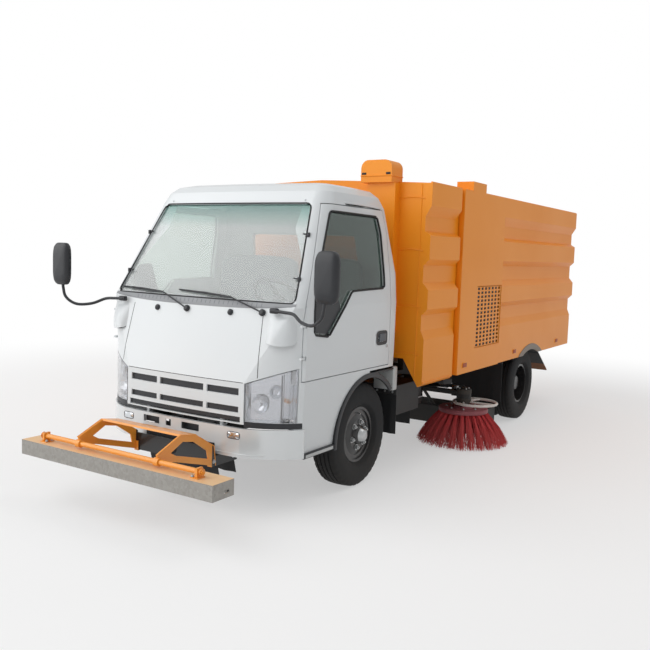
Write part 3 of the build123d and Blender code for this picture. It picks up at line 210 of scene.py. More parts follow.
ring_enamel = surface("guard_ring_enamel_white", "#EDEBE8", "#D8D3CC", 60, 0.40, relief_mm=0.05,
                      dust=0.15, dust_top=0.7)
print("paints mixed")

# %% [markdown]
# Metals. Nuts, rods and clips are bright zinc-plated steel. A metal's colour is its reflection, so these
# are fully metallic and differ in roughness: plating is fairly smooth, a ground piston rod much more so.

# %% Bare and plated metals
zinc_plate = surface("zinc_plated_steel", "#C4C6C6", "#A9ABAC", 25, 0.34, metal=1.0, relief_mm=0.05)
ground_rod = surface("ground_chromed_rod", "#D6D8DA", "#C9CCCF", 60, 0.12, metal=1.0, rough_drift=0.03)
mirror_silver = surface("silvered_mirror_glass", "#DDE2E6", "#D8DEE3", 200, 0.03, metal=1.0, rough_drift=0.01)
pressed_reflector = surface("aluminised_reflector", "#E4E7EA", "#D3D7DB", 12, 0.16, metal=1.0,
                            relief_mm=0.3, grain_mm=9)
exhaust_steel = surface("heat_dulled_exhaust_steel", "#6E665E", "#8A7564", 45, 0.58, metal=0.85,
                        relief_mm=0.2, grain_mm=4)
cast_iron = surface("cast_iron_sooted", "#3A3937", "#4A4743", 70, 0.72, metal=0.4, relief_mm=0.4,
                    grain_mm=3, dust=0.25)
print("metals plated")

# %% [markdown]
# Rubber and plastic. Tyre rubber is very dark but never black, and is greyer where it has run. Wipers,
# seals and mirror housings are EPDM or moulded ABS with a fine spark-eroded grain.

# %% Rubbers and plastics
tyre_rubber = surface("tyre_rubber", "#101113", "#161719", 40, 0.82, relief_mm=0.2, grain_mm=3,
                      dust=0.09, dust_top=0.5)
seal_rubber = surface("seal_epdm_rubber", "#101113", "#17181A", 50, 0.66, relief_mm=0.05)
moulded_black = surface("moulded_abs_black", "#1C1E22", "#26282D", 80, 0.42, relief_mm=0.10, grain_mm=1.5)
moulded_grey = surface("moulded_polypropylene_grey", "#5A5E63", "#666A70", 120, 0.58, relief_mm=0.15)
light_grey = surface("box_light_grey_paint", "#C9CCCC", "#BABDBD", 150, 0.42, relief_mm=0.08, dust=0.2)
arch_grey = surface("arch_lip_rubber_grey", "#8A8077", "#968B80", 90, 0.62, relief_mm=0.2, dust=0.25)
reflex_amber = surface("reflex_reflector_amber", "#B4562A", "#A04A24", 12, 0.55, relief_mm=0.3, grain_mm=4)
cowl_grey = surface("cowl_moulded_grey", "#8C8F92", "#97999C", 160, 0.5, relief_mm=0.1)
seat_cloth = surface("seat_woven_polyester", "#8E9296", "#7C8085", 6, 0.88, relief_mm=0.25, grain_mm=3,
                     sheen=0.35)
broom_board = surface("broom_board_painted_maroon", "#8E3F4A", "#A05A62", 60, 0.55, relief_mm=0.2,
                      dust=0.2)
bristle_fibre = surface("bristle_polypropylene_red", "#E2383C", "#B8202A", 14, 0.48, relief_mm=0.0,
                        dust=0.25, dust_top=0.3)
plate_blank = surface("number_plate_blank_white", "#E4E4DE", "#DADAD2", 100, 0.45, relief_mm=0.04)
print("rubbers and plastics moulded")

# %% [markdown]
# Two pieces are painted or moulded in two colours. A copy of the finish changes colour beyond an edge,
# measured in the piece's own space: the carrier's feet are black, and the mudflaps have an orange foot,
# coloured brown as painted shade.

# %% Two-coloured finishes
MOUNT_BLACK_FROM = -1.196
FLAP_SHADED_FOOT_BELOW = 0.560


def two_tone(base, name, axis, edge, above, other):
    """A copy of a finish that changes to another colour beyond an edge in the piece's own space."""
    made = base.copy()
    made.name = name
    tree = made.node_tree
    shader = tree.nodes["Principled BSDF"]
    first = shader.inputs["Base Color"].links[0].from_socket
    place = node(tree, "TexCoord").outputs["Object"]
    part = node(tree, "SeparateXYZ", links={"Vector": place}).outputs[axis]
    side = node(tree, "Math", {"operation": "GREATER_THAN" if above else "LESS_THAN"}, {1: edge},
                {0: part})
    mixed = node(tree, "Mix", {"data_type": "RGBA"}, {7: srgb(other)},
                 {"Factor": side.outputs["Value"], 6: first})
    tree.links.new(mixed.outputs[2], shader.inputs["Base Color"])
    return made


mount_enamel = two_tone(bar_enamel, "bar_enamel_with_black_feet", "Y", AXLE_Y + MOUNT_BLACK_FROM, True,
                        "#17181A")
# the flap's foot is orange paint given its colour in shade, brown: painted shade
flap_two_tone = two_tone(seal_rubber, "mudflap_rubber_with_shaded_orange_foot", "Z", FLAP_SHADED_FOOT_BELOW, False,
                         "#7A4A22")
print("painted, plated and moulded finishes:", len(bpy.data.materials))

# %% [markdown]
# Hot-dip galvanised steel shows spangle: zinc crystals 10 to 30 mm across, each reflecting a little
# differently. Voronoi cells are that pattern. The top of the front beam carries overspray from its orange
# tube, so the orange is mixed in where the surface faces up in the beam's own space, which still holds
# when the beam is folded.

# %% Galvanised beam
SPANGLE_MM = 18.0


def galvanised(name, deck):
    """Spangled zinc; deck is how far overspray covers what faces up."""
    made, tree, shader = new_finish(name)
    coords = node(tree, "TexCoord")
    spangle = node(tree, "TexVoronoi", values={"Scale": 1000 / SPANGLE_MM},
                   links={"Vector": coords.outputs["Object"]})
    crystal = node(tree, "SeparateColor", links={"Color": spangle.outputs["Color"]})
    zinc = node(tree, "Mix", {"data_type": "RGBA"}, {6: srgb("#96938E"), 7: srgb("#A19E99")},
                {"Factor": crystal.outputs["Red"]})
    up = node(tree, "SeparateXYZ", links={"Vector": coords.outputs["Normal"]})
    facing = node(tree, "MapRange", values={"From Min": 0.8, "From Max": 0.9},
                  links={"Value": up.outputs["Z"]})
    share = node(tree, "Math", {"operation": "MULTIPLY"}, {1: deck},
                 {0: facing.outputs["Result"]})
    coated = node(tree, "Mix", {"data_type": "RGBA"}, {7: srgb("#F2C692")},
                  {"Factor": share.outputs["Value"], 6: zinc.outputs[2]})
    tree.links.new(coated.outputs[2], shader.inputs["Base Color"])
    bare = node(tree, "MapRange", values={"To Min": 0.75, "To Max": 0.0},
                links={"Value": share.outputs["Value"]})
    tree.links.new(bare.outputs["Result"], shader.inputs["Metallic"])
    gloss = node(tree, "MapRange", values={"To Min": 0.40, "To Max": 0.58},
                 links={"Value": crystal.outputs["Green"]})
    tree.links.new(gloss.outputs["Result"], shader.inputs["Roughness"])
    return made


beam_zinc = galvanised("galvanised_steel_with_overspray", 0.9)
print("galvanised finish made")

# %% [markdown]
# Glass and lenses. The windscreen is laminated, faintly green, with a deeper green band at its top; door
# glass is tempered and a shade darker. Lenses are polycarbonate (IOR 1.58), clear, amber or red. Each is
# a real thickness of solid, so plain transmission is right. The windscreen and the headlamps carry a thin
# film of dust, which scatters a share of the light and makes them look milky. On the windscreen the film is
# also painted reflection: its pale share brightens the glass as the mirrored bright surroundings would.

# %% Glass and lenses
def clear(name, colour, ior, rough=0.0, band=None, film=0.0):
    """A see-through solid; film is its share of milky haze (dust, and on the windscreen also painted
    reflection), band a tint as (begins at, full at, colour).
    """
    made, tree, shader = new_finish(name)
    for key, value in (("Transmission Weight", 1.0 - film), ("IOR", ior), ("Roughness", rough),
                       ("Base Color", srgb(colour))):
        shader.inputs[key].default_value = value
    if band:
        start, full, tint = band
        place = node(tree, "TexCoord").outputs["Object"]
        height = node(tree, "SeparateXYZ", links={"Vector": place}).outputs["Z"]
        depth = node(tree, "MapRange", values={"From Min": start, "From Max": full},
                     links={"Value": height})
        shaded = node(tree, "Mix", {"data_type": "RGBA"}, {6: srgb(colour), 7: srgb(tint)},
                      {"Factor": depth.outputs["Result"]})
        tree.links.new(shaded.outputs[2], shader.inputs["Base Color"])
    return made


# the film's pale share on the windscreen is partly dust and partly a painted reflection of the bright
# surroundings
screen_glass = clear("laminated_windscreen_glass", "#F6FAF9", 1.52, band=(1.95, 2.11, "#A2CDC6"), film=0.23)
door_glazing = clear("tempered_door_glass", "#93A39A", 1.52)
lens_clear = clear("lens_polycarbonate_clear", "#F6F8FA", 1.58, 0.02)
lens_frosted = clear("lens_polycarbonate_weathered", "#F4F4F6", 1.58, 0.06, film=0.13)
lens_amber = clear("lens_polycarbonate_amber", "#F09A3A", 1.58, 0.05)
lens_red = clear("lens_polycarbonate_red", "#D8261E", 1.58, 0.05)
print("finishes in all:", len(bpy.data.materials))

# %% [markdown]
# Every engineering solid keeps its shape and gets the finish of the real part.

# %% Dress the engineering solids
DRESS = {
    cab_enamel: ("cab_shell", "door_left", "door_right", "grille_panel"),
    body_enamel: ("water_tank", "hopper_shell", "hopper_beams", "side_grilles", "tailgate"),
    bar_enamel: ("front_bar_tube",),
    mount_enamel: ("front_bar_mount",),
    beam_zinc: ("front_bar_beam",),
    bumper_enamel: ("front_bumper",),
    frame_paint: ("chassis_frame", "underrun_bar", "front_axle", "rear_axle", "leaf_springs", "knuckle_left",
                  "knuckle_right", "tie_rod", "propshaft", "broom_arm_left", "broom_arm_right",
                  "suction_nozzle", "suction_duct", "battery_box", "fuel_tank"),
    cast_iron: ("engine_block", "gearbox", "aux_engine"),
    exhaust_steel: ("exhaust",),
    wheel_enamel: ("rim_front_left", "rim_front_right", "rim_rear_left", "rim_rear_right"),
    moulded_grey: ("dashboard",),
    moulded_black: ("steering_wheel", "wheel_liners", "mirrors"),
    flap_two_tone: ("rear_mudguards",),
    ground_rod: ("ram_rods",),
    zinc_plate: ("ram_barrels",),
    screen_glass: ("cab_glass",),
    door_glazing: ("door_glass_left", "door_glass_right"),
    lens_red: ("tail_lamps",),
    lens_clear: ("headlamps",),
    seat_cloth: ("seats",),
    tyre_rubber: ("tyre_front_left", "tyre_front_right", "tyre_rear_left", "tyre_rear_right"),
    bristle_fibre: ("broom_left", "broom_right"),
}


def dress(solid, finish):
    """Gives a solid's material slots the finish."""
    if not solid.material_slots:
        solid.data.materials.append(finish)
    for place in solid.material_slots:
        place.material = finish


for finish, names in DRESS.items():
    for name in names:
        dress(frame["nodes"][name], finish)
bare = set(frame["nodes"]) - {name for names in DRESS.values() for name in names}
print("solids dressed:", len(frame["nodes"]) - len(bare), "left bare:", sorted(bare))

# %% [markdown]
# Bars, rings and sheets are all grids of points, so one function lists the faces of a grid. It may close
# on itself along its rows, across them, or both.

# %% The faces of a grid
SQUARE = ((-1, -1), (1, -1), (1, 1), (-1, 1))


def grid_faces(rows, width, wrap_rows=False, wrap_width=False):
    """The faces of a grid of points given row by row, each anticlockwise as (along the row, next row)."""
    faces = []
    for i in range(rows if wrap_rows else rows - 1):
        j = (i + 1) % rows * width
        for k in range(width if wrap_width else width - 1):
            m = (k + 1) % width
            faces.append((i * width + k, i * width + m, j + m, j + k))
    return faces


print("faces of a closed 3 x 4 grid:", len(grid_faces(3, 4, True, True)))

# %% [markdown]
# The added pieces are built from a few shop operations: a sheared and bevelled block, a bar bent along a
# path, a turned ring and a folded sheet. Each piece gathers its faces in one mesh, then rides on the body
# that carries it. Faces are given in (x, station, z), with stations measured from the front axle.

# %% The shop operations
SHARP = radians(38)         # edges sharper than this are drawn as edges
PIECES = []


class Piece:
    """Gathers the faces of one named piece."""

    def __init__(self, name):
        self.name = name
        self.verts = []
        self.faces = []
        self.marks = []
        self.round = []
        self.finishes = []

    def add(self, verts, faces, finish, smooth=False):
        """Adds faces with their finish, in (x, station, z)."""
        if finish not in self.finishes:
            self.finishes.append(finish)
        start = len(self.verts)
        self.verts += [tuple(v) for v in verts]
        self.faces += [tuple(start + i for i in face) for face in faces]
        self.marks += [self.finishes.index(finish)] * len(faces)
        self.round += [smooth] * len(faces)

    def block(self, low, high, finish, bevel=0.002, turn=None):
        """A bevelled block between two corners, turned about its middle by a matrix if one is given."""
        middle = (Vector(low) + Vector(high)) / 2
        size = Vector(high) - Vector(low)
        form = bmesh.new()
        bmesh.ops.create_cube(form, size=1.0)
        for v in form.verts:
            v.co = at(v.co.x * size.x, v.co.y * size.y, v.co.z * size.z)
        bmesh.ops.bevel(form, geom=list(form.edges), offset=min(bevel, min(size) * 0.3), segments=2,
                        affect="EDGES", profile=0.5)
        form.verts.index_update()
        verts = [(turn @ v.co if turn else v.co) + middle for v in form.verts]
        self.add(verts, [[v.index for v in face.verts] for face in form.faces], finish)
        form.free()

    def slab(self, way, x0, x1, y0, y1, z0, z1, finish, bevel):
        """A block given for the left side, or its mirror image where way is -1."""
        a, b = sorted((way * x0, way * x1))
        self.block((a, y0, z0), (b, y1, z1), finish, bevel)

    def bar(self, path, radius, finish, sides=12, closed=False):
        """A round bar along a path of points; radius is one value or one for each point."""
        points = [Vector(p) for p in path]
        count = len(points)
        radii = radius if isinstance(radius, (list, tuple)) else [radius] * count
        side = None
        verts = []
        for i, point in enumerate(points):
            ahead = points[(i + 1) % count] if closed or i + 1 < count else point
            behind = points[i - 1] if closed or i else point
            along = (ahead - behind).normalized()
            if side is None:
                side = along.orthogonal().normalized()
            side = (side - along * side.dot(along)).normalized()
            across = along.cross(side)
            for k in range(sides):
                a = tau * k / sides
                verts.append(point + (side * cos(a) + across * sin(a)) * radii[i])
        faces = grid_faces(count, sides, closed, True)
        if not closed:
            faces.append(tuple(reversed(range(sides))))
            faces.append(tuple(range((count - 1) * sides, count * sides)))
        self.add(verts, faces, finish, True)

    def run(self, start, end, step, radius, finish, sides=8):
        """A straight round bar, ringed at every step."""
        self.bar(along([start, end], step), radius, finish, sides)

    def turned(self, profile, centre, axis, finish, steps=48, dents=None):
        """A turned ring or disc. Its profile is (along the axis, radius); dents moves single points."""
        axis = Vector(axis).normalized()
        side = axis.orthogonal().normalized()
        across = axis.cross(side)
        centre = Vector(centre)
        count = len(profile)
        verts = []
        for k in range(steps):
            a = tau * k / steps
            out = side * cos(a) + across * sin(a)
            for i, (along, radius) in enumerate(profile):
                verts.append(centre + axis * along + out * (radius - (dents(i, k) if dents else 0.0)))
        faces = []
        for k in range(steps):
            m = (k + 1) % steps
            for i in range(count - 1):
                faces.append((k * count + i, m * count + i, m * count + i + 1, k * count + i + 1))
        self.add(verts, faces, finish, True)

    def nut(self, centre, axis, across_flats, height, finish):
        """A hexagon nut with a washer under it and the stud's end through it."""
        flats = across_flats / 2 / cos(pi / 6)
        axis = Vector(axis).normalized()
        side = axis.orthogonal().normalized()
        turn = axis.cross(side)
        verts = []
        for along, radius in ((0, flats), (height * 0.85, flats), (height, flats * 0.86)):
            for k in range(6):
                a = pi * k / 3
                verts.append(Vector(centre) + axis * along + (side * cos(a) + turn * sin(a)) * radius)
        self.add(verts, grid_faces(3, 6, False, True) + [tuple(range(12, 18))], finish)
        washer = [(0.0, flats), (0.0, flats * 1.35), (height * 0.18, flats * 1.35), (height * 0.18, flats)]
        self.turned(washer, centre, axis, finish, 20)
        stud = across_flats * 0.27
        tip = [(height, stud), (height * 1.35, stud), (height * 1.45, stud * 0.7), (height * 1.45, 0.0)]
        self.turned(tip, centre, axis, finish, 12)

    def sheet(self, rows, finish, thick=0.0, smooth=True):
        """A sheet over a grid of points, given a thickness behind its face."""
        height, width = len(rows), len(rows[0])
        front = [Vector(p) for row in rows for p in row]
        faces = grid_faces(height, width)
        if not thick:
            self.add(front, faces, finish, smooth)
            return
        lift = [at(0, 0, 0) for _ in front]
        for face in faces:
            a, b, c, d = (front[i] for i in face)
            normal = (c - a).cross(d - b)
            for i in face:
                lift[i] += normal
        back = [p - n.normalized() * thick for p, n in zip(front, lift)]
        count = len(front)
        rim = list(range(width)) + [i * width + width - 1 for i in range(1, height)]
        rim += [(height - 1) * width + k for k in range(width - 2, -1, -1)]
        rim += [i * width for i in range(height - 2, 0, -1)]
        edge = [(a, b, b + count, a + count) for a, b in zip(rim[1:] + rim[:1], rim)]
        self.add(front + back, faces + [tuple(i + count for i in reversed(f)) for f in faces] + edge,
                 finish, smooth)

    def done(self, body, *stands_for, mirrored=False):
        """Makes the object and lets it ride; a mirrored one is for the truck's other side."""
        way = -1 if mirrored else 1
        mesh = bpy.data.meshes.new(self.name)
        mesh.from_pydata([(x * way, y + AXLE_Y, z) for x, y, z in self.verts], [], self.faces)
        for finish in self.finishes:
            mesh.materials.append(finish)
        mesh.polygons.foreach_set("material_index", self.marks)
        mesh.polygons.foreach_set("use_smooth", self.round)
        if mirrored:
            mesh.flip_normals()
        mesh.validate()
        mesh.set_sharp_from_angle(angle=SHARP)
        made = bpy.data.objects.new(self.name, mesh)
        bpy.context.scene.collection.objects.link(made)
        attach(made, body)
        if stands_for:
            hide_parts(*stands_for)
        PIECES.append((self.name, sum(len(p.vertices) - 2 for p in mesh.polygons)))
        return made


print("shop operations:", [name for name in vars(Piece) if not name.startswith("_")])

# %% [markdown]
# Most pieces come in pairs. The left one is built, and the right one is its mirror image, which rides on
# the body of its own side where there is one.

# %% Pairs of pieces
def both_sides(build, name, body, *stands_for):
    """Builds a piece for the left side and its mirror image for the right."""
    for side in ("left", "right"):
        piece = Piece(f"{name}_{side}")
        build(piece)
        names = [f"{node_name}_{side}" for node_name in stands_for]
        carrier = body if body in frame["bodies"] else f"{body}_{side}"
        piece.done(carrier, *names, mirrored=side == "right")


# %% [markdown]
# Trim has to lie on the cab's curved skin. Rather than repeat the cab's shape, a point is found by looking
# for the skin along a straight line, as a fitter would offer a part up to the panel.

# %% Finding the skin
def skin_of(*names):
    """One search tree over the meshes of several solids."""
    verts, faces = [], []
    for name in names:
        mesh = frame["nodes"][name].data
        start = len(verts)
        verts += [v.co.copy() for v in mesh.vertices]
        faces += [tuple(start + i for i in p.vertices) for p in mesh.polygons]
    return BVHTree.FromPolygons(verts, faces)


CAB_SKIN = skin_of("cab_shell", "cab_glass", "grille_panel", "headlamps", "door_left", "door_right",
                   "door_glass_left", "door_glass_right")


def on_skin(origin, way, proud, skin=CAB_SKIN):
    """Where a straight look meets the skin, moved out along the skin's normal."""
    spot, normal, _, _ = skin.ray_cast(Vector(origin), Vector(way))
    spot = spot + normal * proud
    return at(spot.x, spot.y - AXLE_Y, spot.z)


def on_front(x, z, proud=0.0, skin=CAB_SKIN):
    """The point of the cab's front at this width and height."""
    return on_skin((x, -4.0, z), (0, 1, 0), proud, skin)


def on_side(station, z, proud=0.0):
    """The point of the truck's left side at this station and height."""
    return on_skin((3.0, AXLE_Y + station, z), (-1, 0, 0), proud)


print("the grille's face is at station", round(on_front(0.0, 0.78).y, 3))

# %% [markdown]
# Outlines and tube lines are worked out as points: straight runs cut to a step, rounded corners, the
# square with round sides that most moulded plates have, and the smooth line of a bent tube.

# %% Outlines and lines
def along(points, step):
    """Points no further apart than a step, over straight runs between corners."""
    out = []
    for a, b in zip(points, points[1:]):
        a, b = Vector(a), Vector(b)
        count = max(1, ceil((b - a).length / step))
        out += [a.lerp(b, i / count) for i in range(count)]
    return out + [Vector(points[-1])]


def spread(first, last, count):
    """Evenly spaced values, both ends included."""
    return [first + (last - first) * k / count for k in range(count + 1)]


def rounded(corners, radius, steps=6):
    """A closed flat outline with its corners rounded."""
    out = []
    count = len(corners)
    for i in range(count):
        before, here, after = (Vector(corners[(i + d) % count]) for d in (-1, 0, 1))
        first = here + (before - here).normalized() * radius
        last = here + (after - here).normalized() * radius
        for k in range(steps + 1):
            t = k / steps
            out.append(first.lerp(here, t).lerp(here.lerp(last, t), t))
    return out


def squircle(count, power):
    """The closed outline of a square with round sides, as (across, up), each at most 1."""
    out = []
    for k in range(count + 1):
        a = tau * k / count
        c, s = cos(a), sin(a)
        bulge = 1 / (abs(c) ** power + abs(s) ** power) ** (1 / power)
        out.append((bulge * c, bulge * s))
    return out


def smooth_path(points, steps=8):
    """A bent tube's line: a Catmull-Rom curve through its points."""
    pts = [Vector(p) for p in points]
    pts = [pts[0] * 2 - pts[1]] + pts + [pts[-1] * 2 - pts[-2]]
    out = []
    for a, b, c, d in zip(pts, pts[1:], pts[2:], pts[3:]):
        for k in range(steps):
            t = k / steps
            out.append(0.5 * (2 * b + (c - a) * t + (2 * a - 5 * b + 4 * c - d) * t * t
                              + (3 * b - a - 3 * c + d) * t ** 3))
    return out + [pts[-2]]


print("points on a tube with one bend:", len(smooth_path([(0, 0, 0), (0, 1, 0), (1, 1, 0)])))

# %% [markdown]
# ## Tyres
# A light-truck tyre has round-shouldered sidewalls and a tread of five ribs with four grooves about 9 mm
# deep. Short sipes cut the shoulders at an even pitch. It could be a displaced cylinder, but the grooves
# are real edges in the silhouette, so the profile is turned and the shoulder points are dented in turn.

# %% Tyres
GROOVE = 0.009
CROWN_R, CROWN_DROP, TREAD_HALF = 0.4015, 0.005, 0.080
SIPE_PITCH, SIPE_DEEP = 4, 0.006        # every fourth step round the tyre is a sipe
SHOULDER_R, SHOULDER_X = 0.374, 0.060   # sipes cut what lies beyond both
TYRE_HALF_W = 0.1075

# the half section from bead to shoulder, then the tread, as (x from the centre plane, radius)
SIDEWALL = [(0.0717, 0.2035), (0.0717, 0.2175), (0.084, 0.226), (0.0965, 0.240), (0.1020, 0.246),
            (0.1030, 0.2485), (0.1045, 0.262), (0.1070, 0.290), (0.1072, 0.312), (0.1060, 0.330),
            (0.1035, 0.347), (0.1020, 0.352), (0.1005, 0.362), (0.0965, 0.376), (0.0900, 0.388)]
TREAD = [(x, CROWN_R - CROWN_DROP * (x / TREAD_HALF) ** 2 - deep) for x, deep in (
    (0.080, 0), (0.060, 0), (0.0585, GROOVE), (0.0515, GROOVE), (0.050, 0), (0.0235, 0), (0.022, GROOVE),
    (0.0150, GROOVE), (0.0135, 0))]
FULL = SIDEWALL + TREAD + [(-x, r) for x, r in reversed(SIDEWALL + TREAD)]
SIPES = {i for i, (x, r) in enumerate(FULL) if r > SHOULDER_R and abs(x) > SHOULDER_X}
INSIDE = [(-0.0717, 0.2035), (-0.0717, 0.215), (-0.098, 0.25), (-0.095, 0.36), (0, 0.386),
          (0.095, 0.36), (0.098, 0.25), (0.0717, 0.215), (0.0717, 0.2035)]

low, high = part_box("tyre_rear_left")
REAR_X, TWIN_X = high[0] - TYRE_HALF_W, low[0] + TYRE_HALF_W
FRONT_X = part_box("tyre_front_left")[1][0] - TYRE_HALF_W


def sipe(i, k):
    """How deep a point of the tread is dented."""
    return SIPE_DEEP if i in SIPES and k % SIPE_PITCH == 0 else 0.0


def tyres(piece, station, *planes):
    """One tyre at each centre plane."""
    for x in planes:
        piece.turned(FULL, (x, station, AXLE_Z), (1, 0, 0), tyre_rubber, 160, sipe)
        piece.turned(INSIDE[::-1], (x, station, AXLE_Z), (1, 0, 0), tyre_rubber, 48)


both_sides(lambda piece: tyres(piece, 0, FRONT_X), "tyre_dressed_front", "wheel_front", "tyre_front")
both_sides(lambda piece: tyres(piece, WHEELBASE, REAR_X, TWIN_X), "tyre_dressed_rear", "wheels_rear",
           "tyre_rear")
print("tyres:", PIECES)

# %% [markdown]
# ## Wheel nuts and hubs
# Six zinc-plated nuts hold each disc. The front hub has a bright pressed cap, the rear one an enamelled one.
# The nuts are what makes a black wheel readable, so they are modelled with washers and stud ends.

# %% Wheel nuts and hubs
NUTS = 6
NUT_FLATS = 0.030
FRONT_CIRCLE, REAR_CIRCLE = 0.099, 0.125    # radii of the nut circles
FRONT_FACE, REAR_FACE = 0.0795, -0.101      # the discs' faces, out from the tyre's centre plane
FRONT_CAP, REAR_CAP = 0.0957, 0.0317        # where the hub caps sit, from the same plane


def nut_circle(piece, face, station, radius, height):
    """The wheel's nuts on a face."""
    for k in range(NUTS):
        a = tau * (k + 0.25) / NUTS
        spot = (face, station + radius * cos(a), AXLE_Z + radius * sin(a))
        piece.nut(spot, (1, 0, 0), NUT_FLATS, height, zinc_plate)


def front_nuts(piece):
    face = FRONT_X + FRONT_FACE
    nut_circle(piece, face, 0, FRONT_CIRCLE, 0.020)
    cap = [(0.0, 0.062), (0.008, 0.060), (0.020, 0.054), (0.034, 0.047), (0.046, 0.036), (0.050, 0.020),
           (0.0505, 0.0)]
    piece.turned(cap, (FRONT_X + FRONT_CAP, 0, AXLE_Z), (1, 0, 0), zinc_plate, 40)
    stem = [at(face - 0.02, 0.0, AXLE_Z + 0.168), at(face + 0.012, 0.0, AXLE_Z + 0.162)]
    piece.bar(stem, 0.005, zinc_plate, 8)


def rear_nuts(piece):
    nut_circle(piece, REAR_X + REAR_FACE, WHEELBASE, REAR_CIRCLE, 0.022)
    cap = [(0.0, 0.077), (0.006, 0.074), (0.009, 0.060), (0.009, 0.0)]
    piece.turned(cap, (REAR_X + REAR_CAP, WHEELBASE, AXLE_Z), (1, 0, 0), wheel_enamel, 40)


both_sides(front_nuts, "wheel_nuts_front", "wheel_front")
both_sides(rear_nuts, "wheel_nuts_rear", "wheels_rear")
print("nuts fitted")

# %% [markdown]
# ## Window seals
# The windscreen and the back window sit in black rubber seals, and each door window in a thinner channel.
# The seal is a bar that follows the glass's outline over the curved skin.

# %% Window seals
SEAL_R = 0.0065
SEAL_STEP = 0.03            # trim is fitted to the skin at points no further apart


def seal_round(piece, corners, radius, find):
    """A seal over the skin along a rounded outline."""
    outline = rounded(corners, radius)
    outline = along([(*p, 0) for p in outline] + [(*outline[0], 0)], SEAL_STEP)[:-1]
    piece.bar([find(p[0], p[1]) for p in outline], SEAL_R, seal_rubber, 8, closed=True)


screen_seal = Piece("windscreen_seal")
seal_round(screen_seal, [(-0.829, 1.445), (0.829, 1.445), (0.690, 2.131), (-0.690, 2.131)], 0.045,
           lambda x, z: on_front(x, z, -0.001))
screen_seal.done("cab")
print("windscreen seal fitted")

# %% [markdown]
# ## Wipers and washer jets
# Two arms park towards the truck's right, each on a spindle under the screen. An arm is a round bar, and its
# blade a rubber strip in a slim tapered spine that lies along the glass. The jets are small black domes on
# the panel.

# %% Wipers and washer jets
# spindle, arm's knee, blade's near end, blade's far end, each as (x, z) on the front
WIPERS = (
    ((-0.058, 1.362), (-0.300, 1.450), (-0.345, 1.462), (-0.812, 1.478)),
    ((0.598, 1.374), (0.340, 1.446), (0.305, 1.460), (-0.190, 1.484)),
)
JETS = ((-0.350, 1.352), (0.334, 1.362))

wipers = Piece("wipers")
for spindle, knee, near, far in WIPERS:
    base = on_front(*spindle)
    wipers.turned([(0.0, 0.024), (0.016, 0.023), (0.024, 0.016), (0.026, 0.0)], base, (0, -1, 0.4),
                  moulded_black, 20)
    middle = ((near[0] + far[0]) / 2, (near[1] + far[1]) / 2)
    arm = [base + at(0, -0.018, 0.006), on_front(*knee, 0.034), on_front(*middle, 0.026)]
    wipers.bar(along(arm, 0.05), 0.0058, moulded_black, 8)
    path = [at(a, b, 0) for a, b in (near, far)]
    blade = [on_front(p.x, p.y, 0.016) for p in along(path, SEAL_STEP)]
    taper = [0.0035 + 0.0035 * sin(pi * i / (len(blade) - 1)) for i in range(len(blade))]
    wipers.bar(blade, taper, moulded_black, 8)
    lip = [on_front(p.x, p.y, 0.006) for p in along(path, SEAL_STEP)]
    wipers.bar(lip, 0.0035, seal_rubber, 6)
for x, z in JETS:
    wipers.turned([(0.0, 0.022), (0.010, 0.021), (0.018, 0.013), (0.020, 0.0)], on_front(x, z),
                  (0, -1, 0.3), moulded_black, 18)
wipers.done("cab")
print("wipers fitted")

# %% [markdown]
# ## Headlamps
# Each lamp wraps round the cab's corner behind one clear moulding. Inside are a round aluminised bowl
# with its bulb, a smaller bowl beside it for main beam, and an amber turn-signal bulb at the outer edge,
# in front of a fluted reflector. The engineering solid is the lamp's outline only, so these pieces replace
# it: a 4 mm lens over the skin, and a housing 55 mm behind with walls that run forward to the lens.

# %% Headlamps
LAMP_SKIN = skin_of("headlamps")
LAMP_LOW = 0.648
LAMP_TOP = ((0.548, 0.901), (0.770, 0.983), (0.900, 1.030))
LAMP_PIVOT = at(0.600, -0.800)
LAMP_COLUMNS, LAMP_ROWS = 34, 16
LAMP_FROM, LAMP_TO = radians(-8.0), radians(70.5)     # bearings of its two ends
LENS_T, HOUSING_IN = 0.004, 0.055


def lamp_top(x):
    """The lamp's upper edge at a width."""
    for (x0, z0), (x1, z1) in zip(LAMP_TOP, LAMP_TOP[1:]):
        if x <= x1:
            return z0 + (z1 - z0) * max(0.0, (x - x0) / (x1 - x0))
    return LAMP_TOP[-1][1]


def lamp_spot(bearing, z, inset=0.0):
    """Where a line towards the lamp's pivot meets its skin, moved in by the inset, and the line's way out."""
    way = at(sin(bearing), -cos(bearing), 0)
    origin = at(LAMP_PIVOT.x, LAMP_PIVOT.y + AXLE_Y, z) + way * 0.9
    hit = LAMP_SKIN.ray_cast(origin, -way)[0]
    if hit is None:
        return None, way
    hit = hit - way * inset
    return at(hit.x, hit.y - AXLE_Y, z), way


def lamp_grid(inset):
    """Points over the lamp's skin, row by row, moved in by the inset."""
    columns = []
    for k in range(LAMP_COLUMNS):
        bearing = LAMP_FROM + (LAMP_TO - LAMP_FROM) * k / (LAMP_COLUMNS - 1)
        level = lamp_spot(bearing, 0.80, inset)[0]
        edge = lamp_spot(bearing, 0.80)[0]
        if edge is None:
            continue
        top = lamp_top(edge.x) - 0.004
        heights = [LAMP_LOW + (top - LAMP_LOW) * i / (LAMP_ROWS - 1) for i in range(LAMP_ROWS)]
        columns.append([lamp_spot(bearing, z, inset)[0] or at(level.x, level.y, z) for z in heights])
    return [list(row) for row in zip(*columns)]


def lamp_lens(piece):
    piece.sheet(lamp_grid(0.0005), lens_frosted, thick=LENS_T)


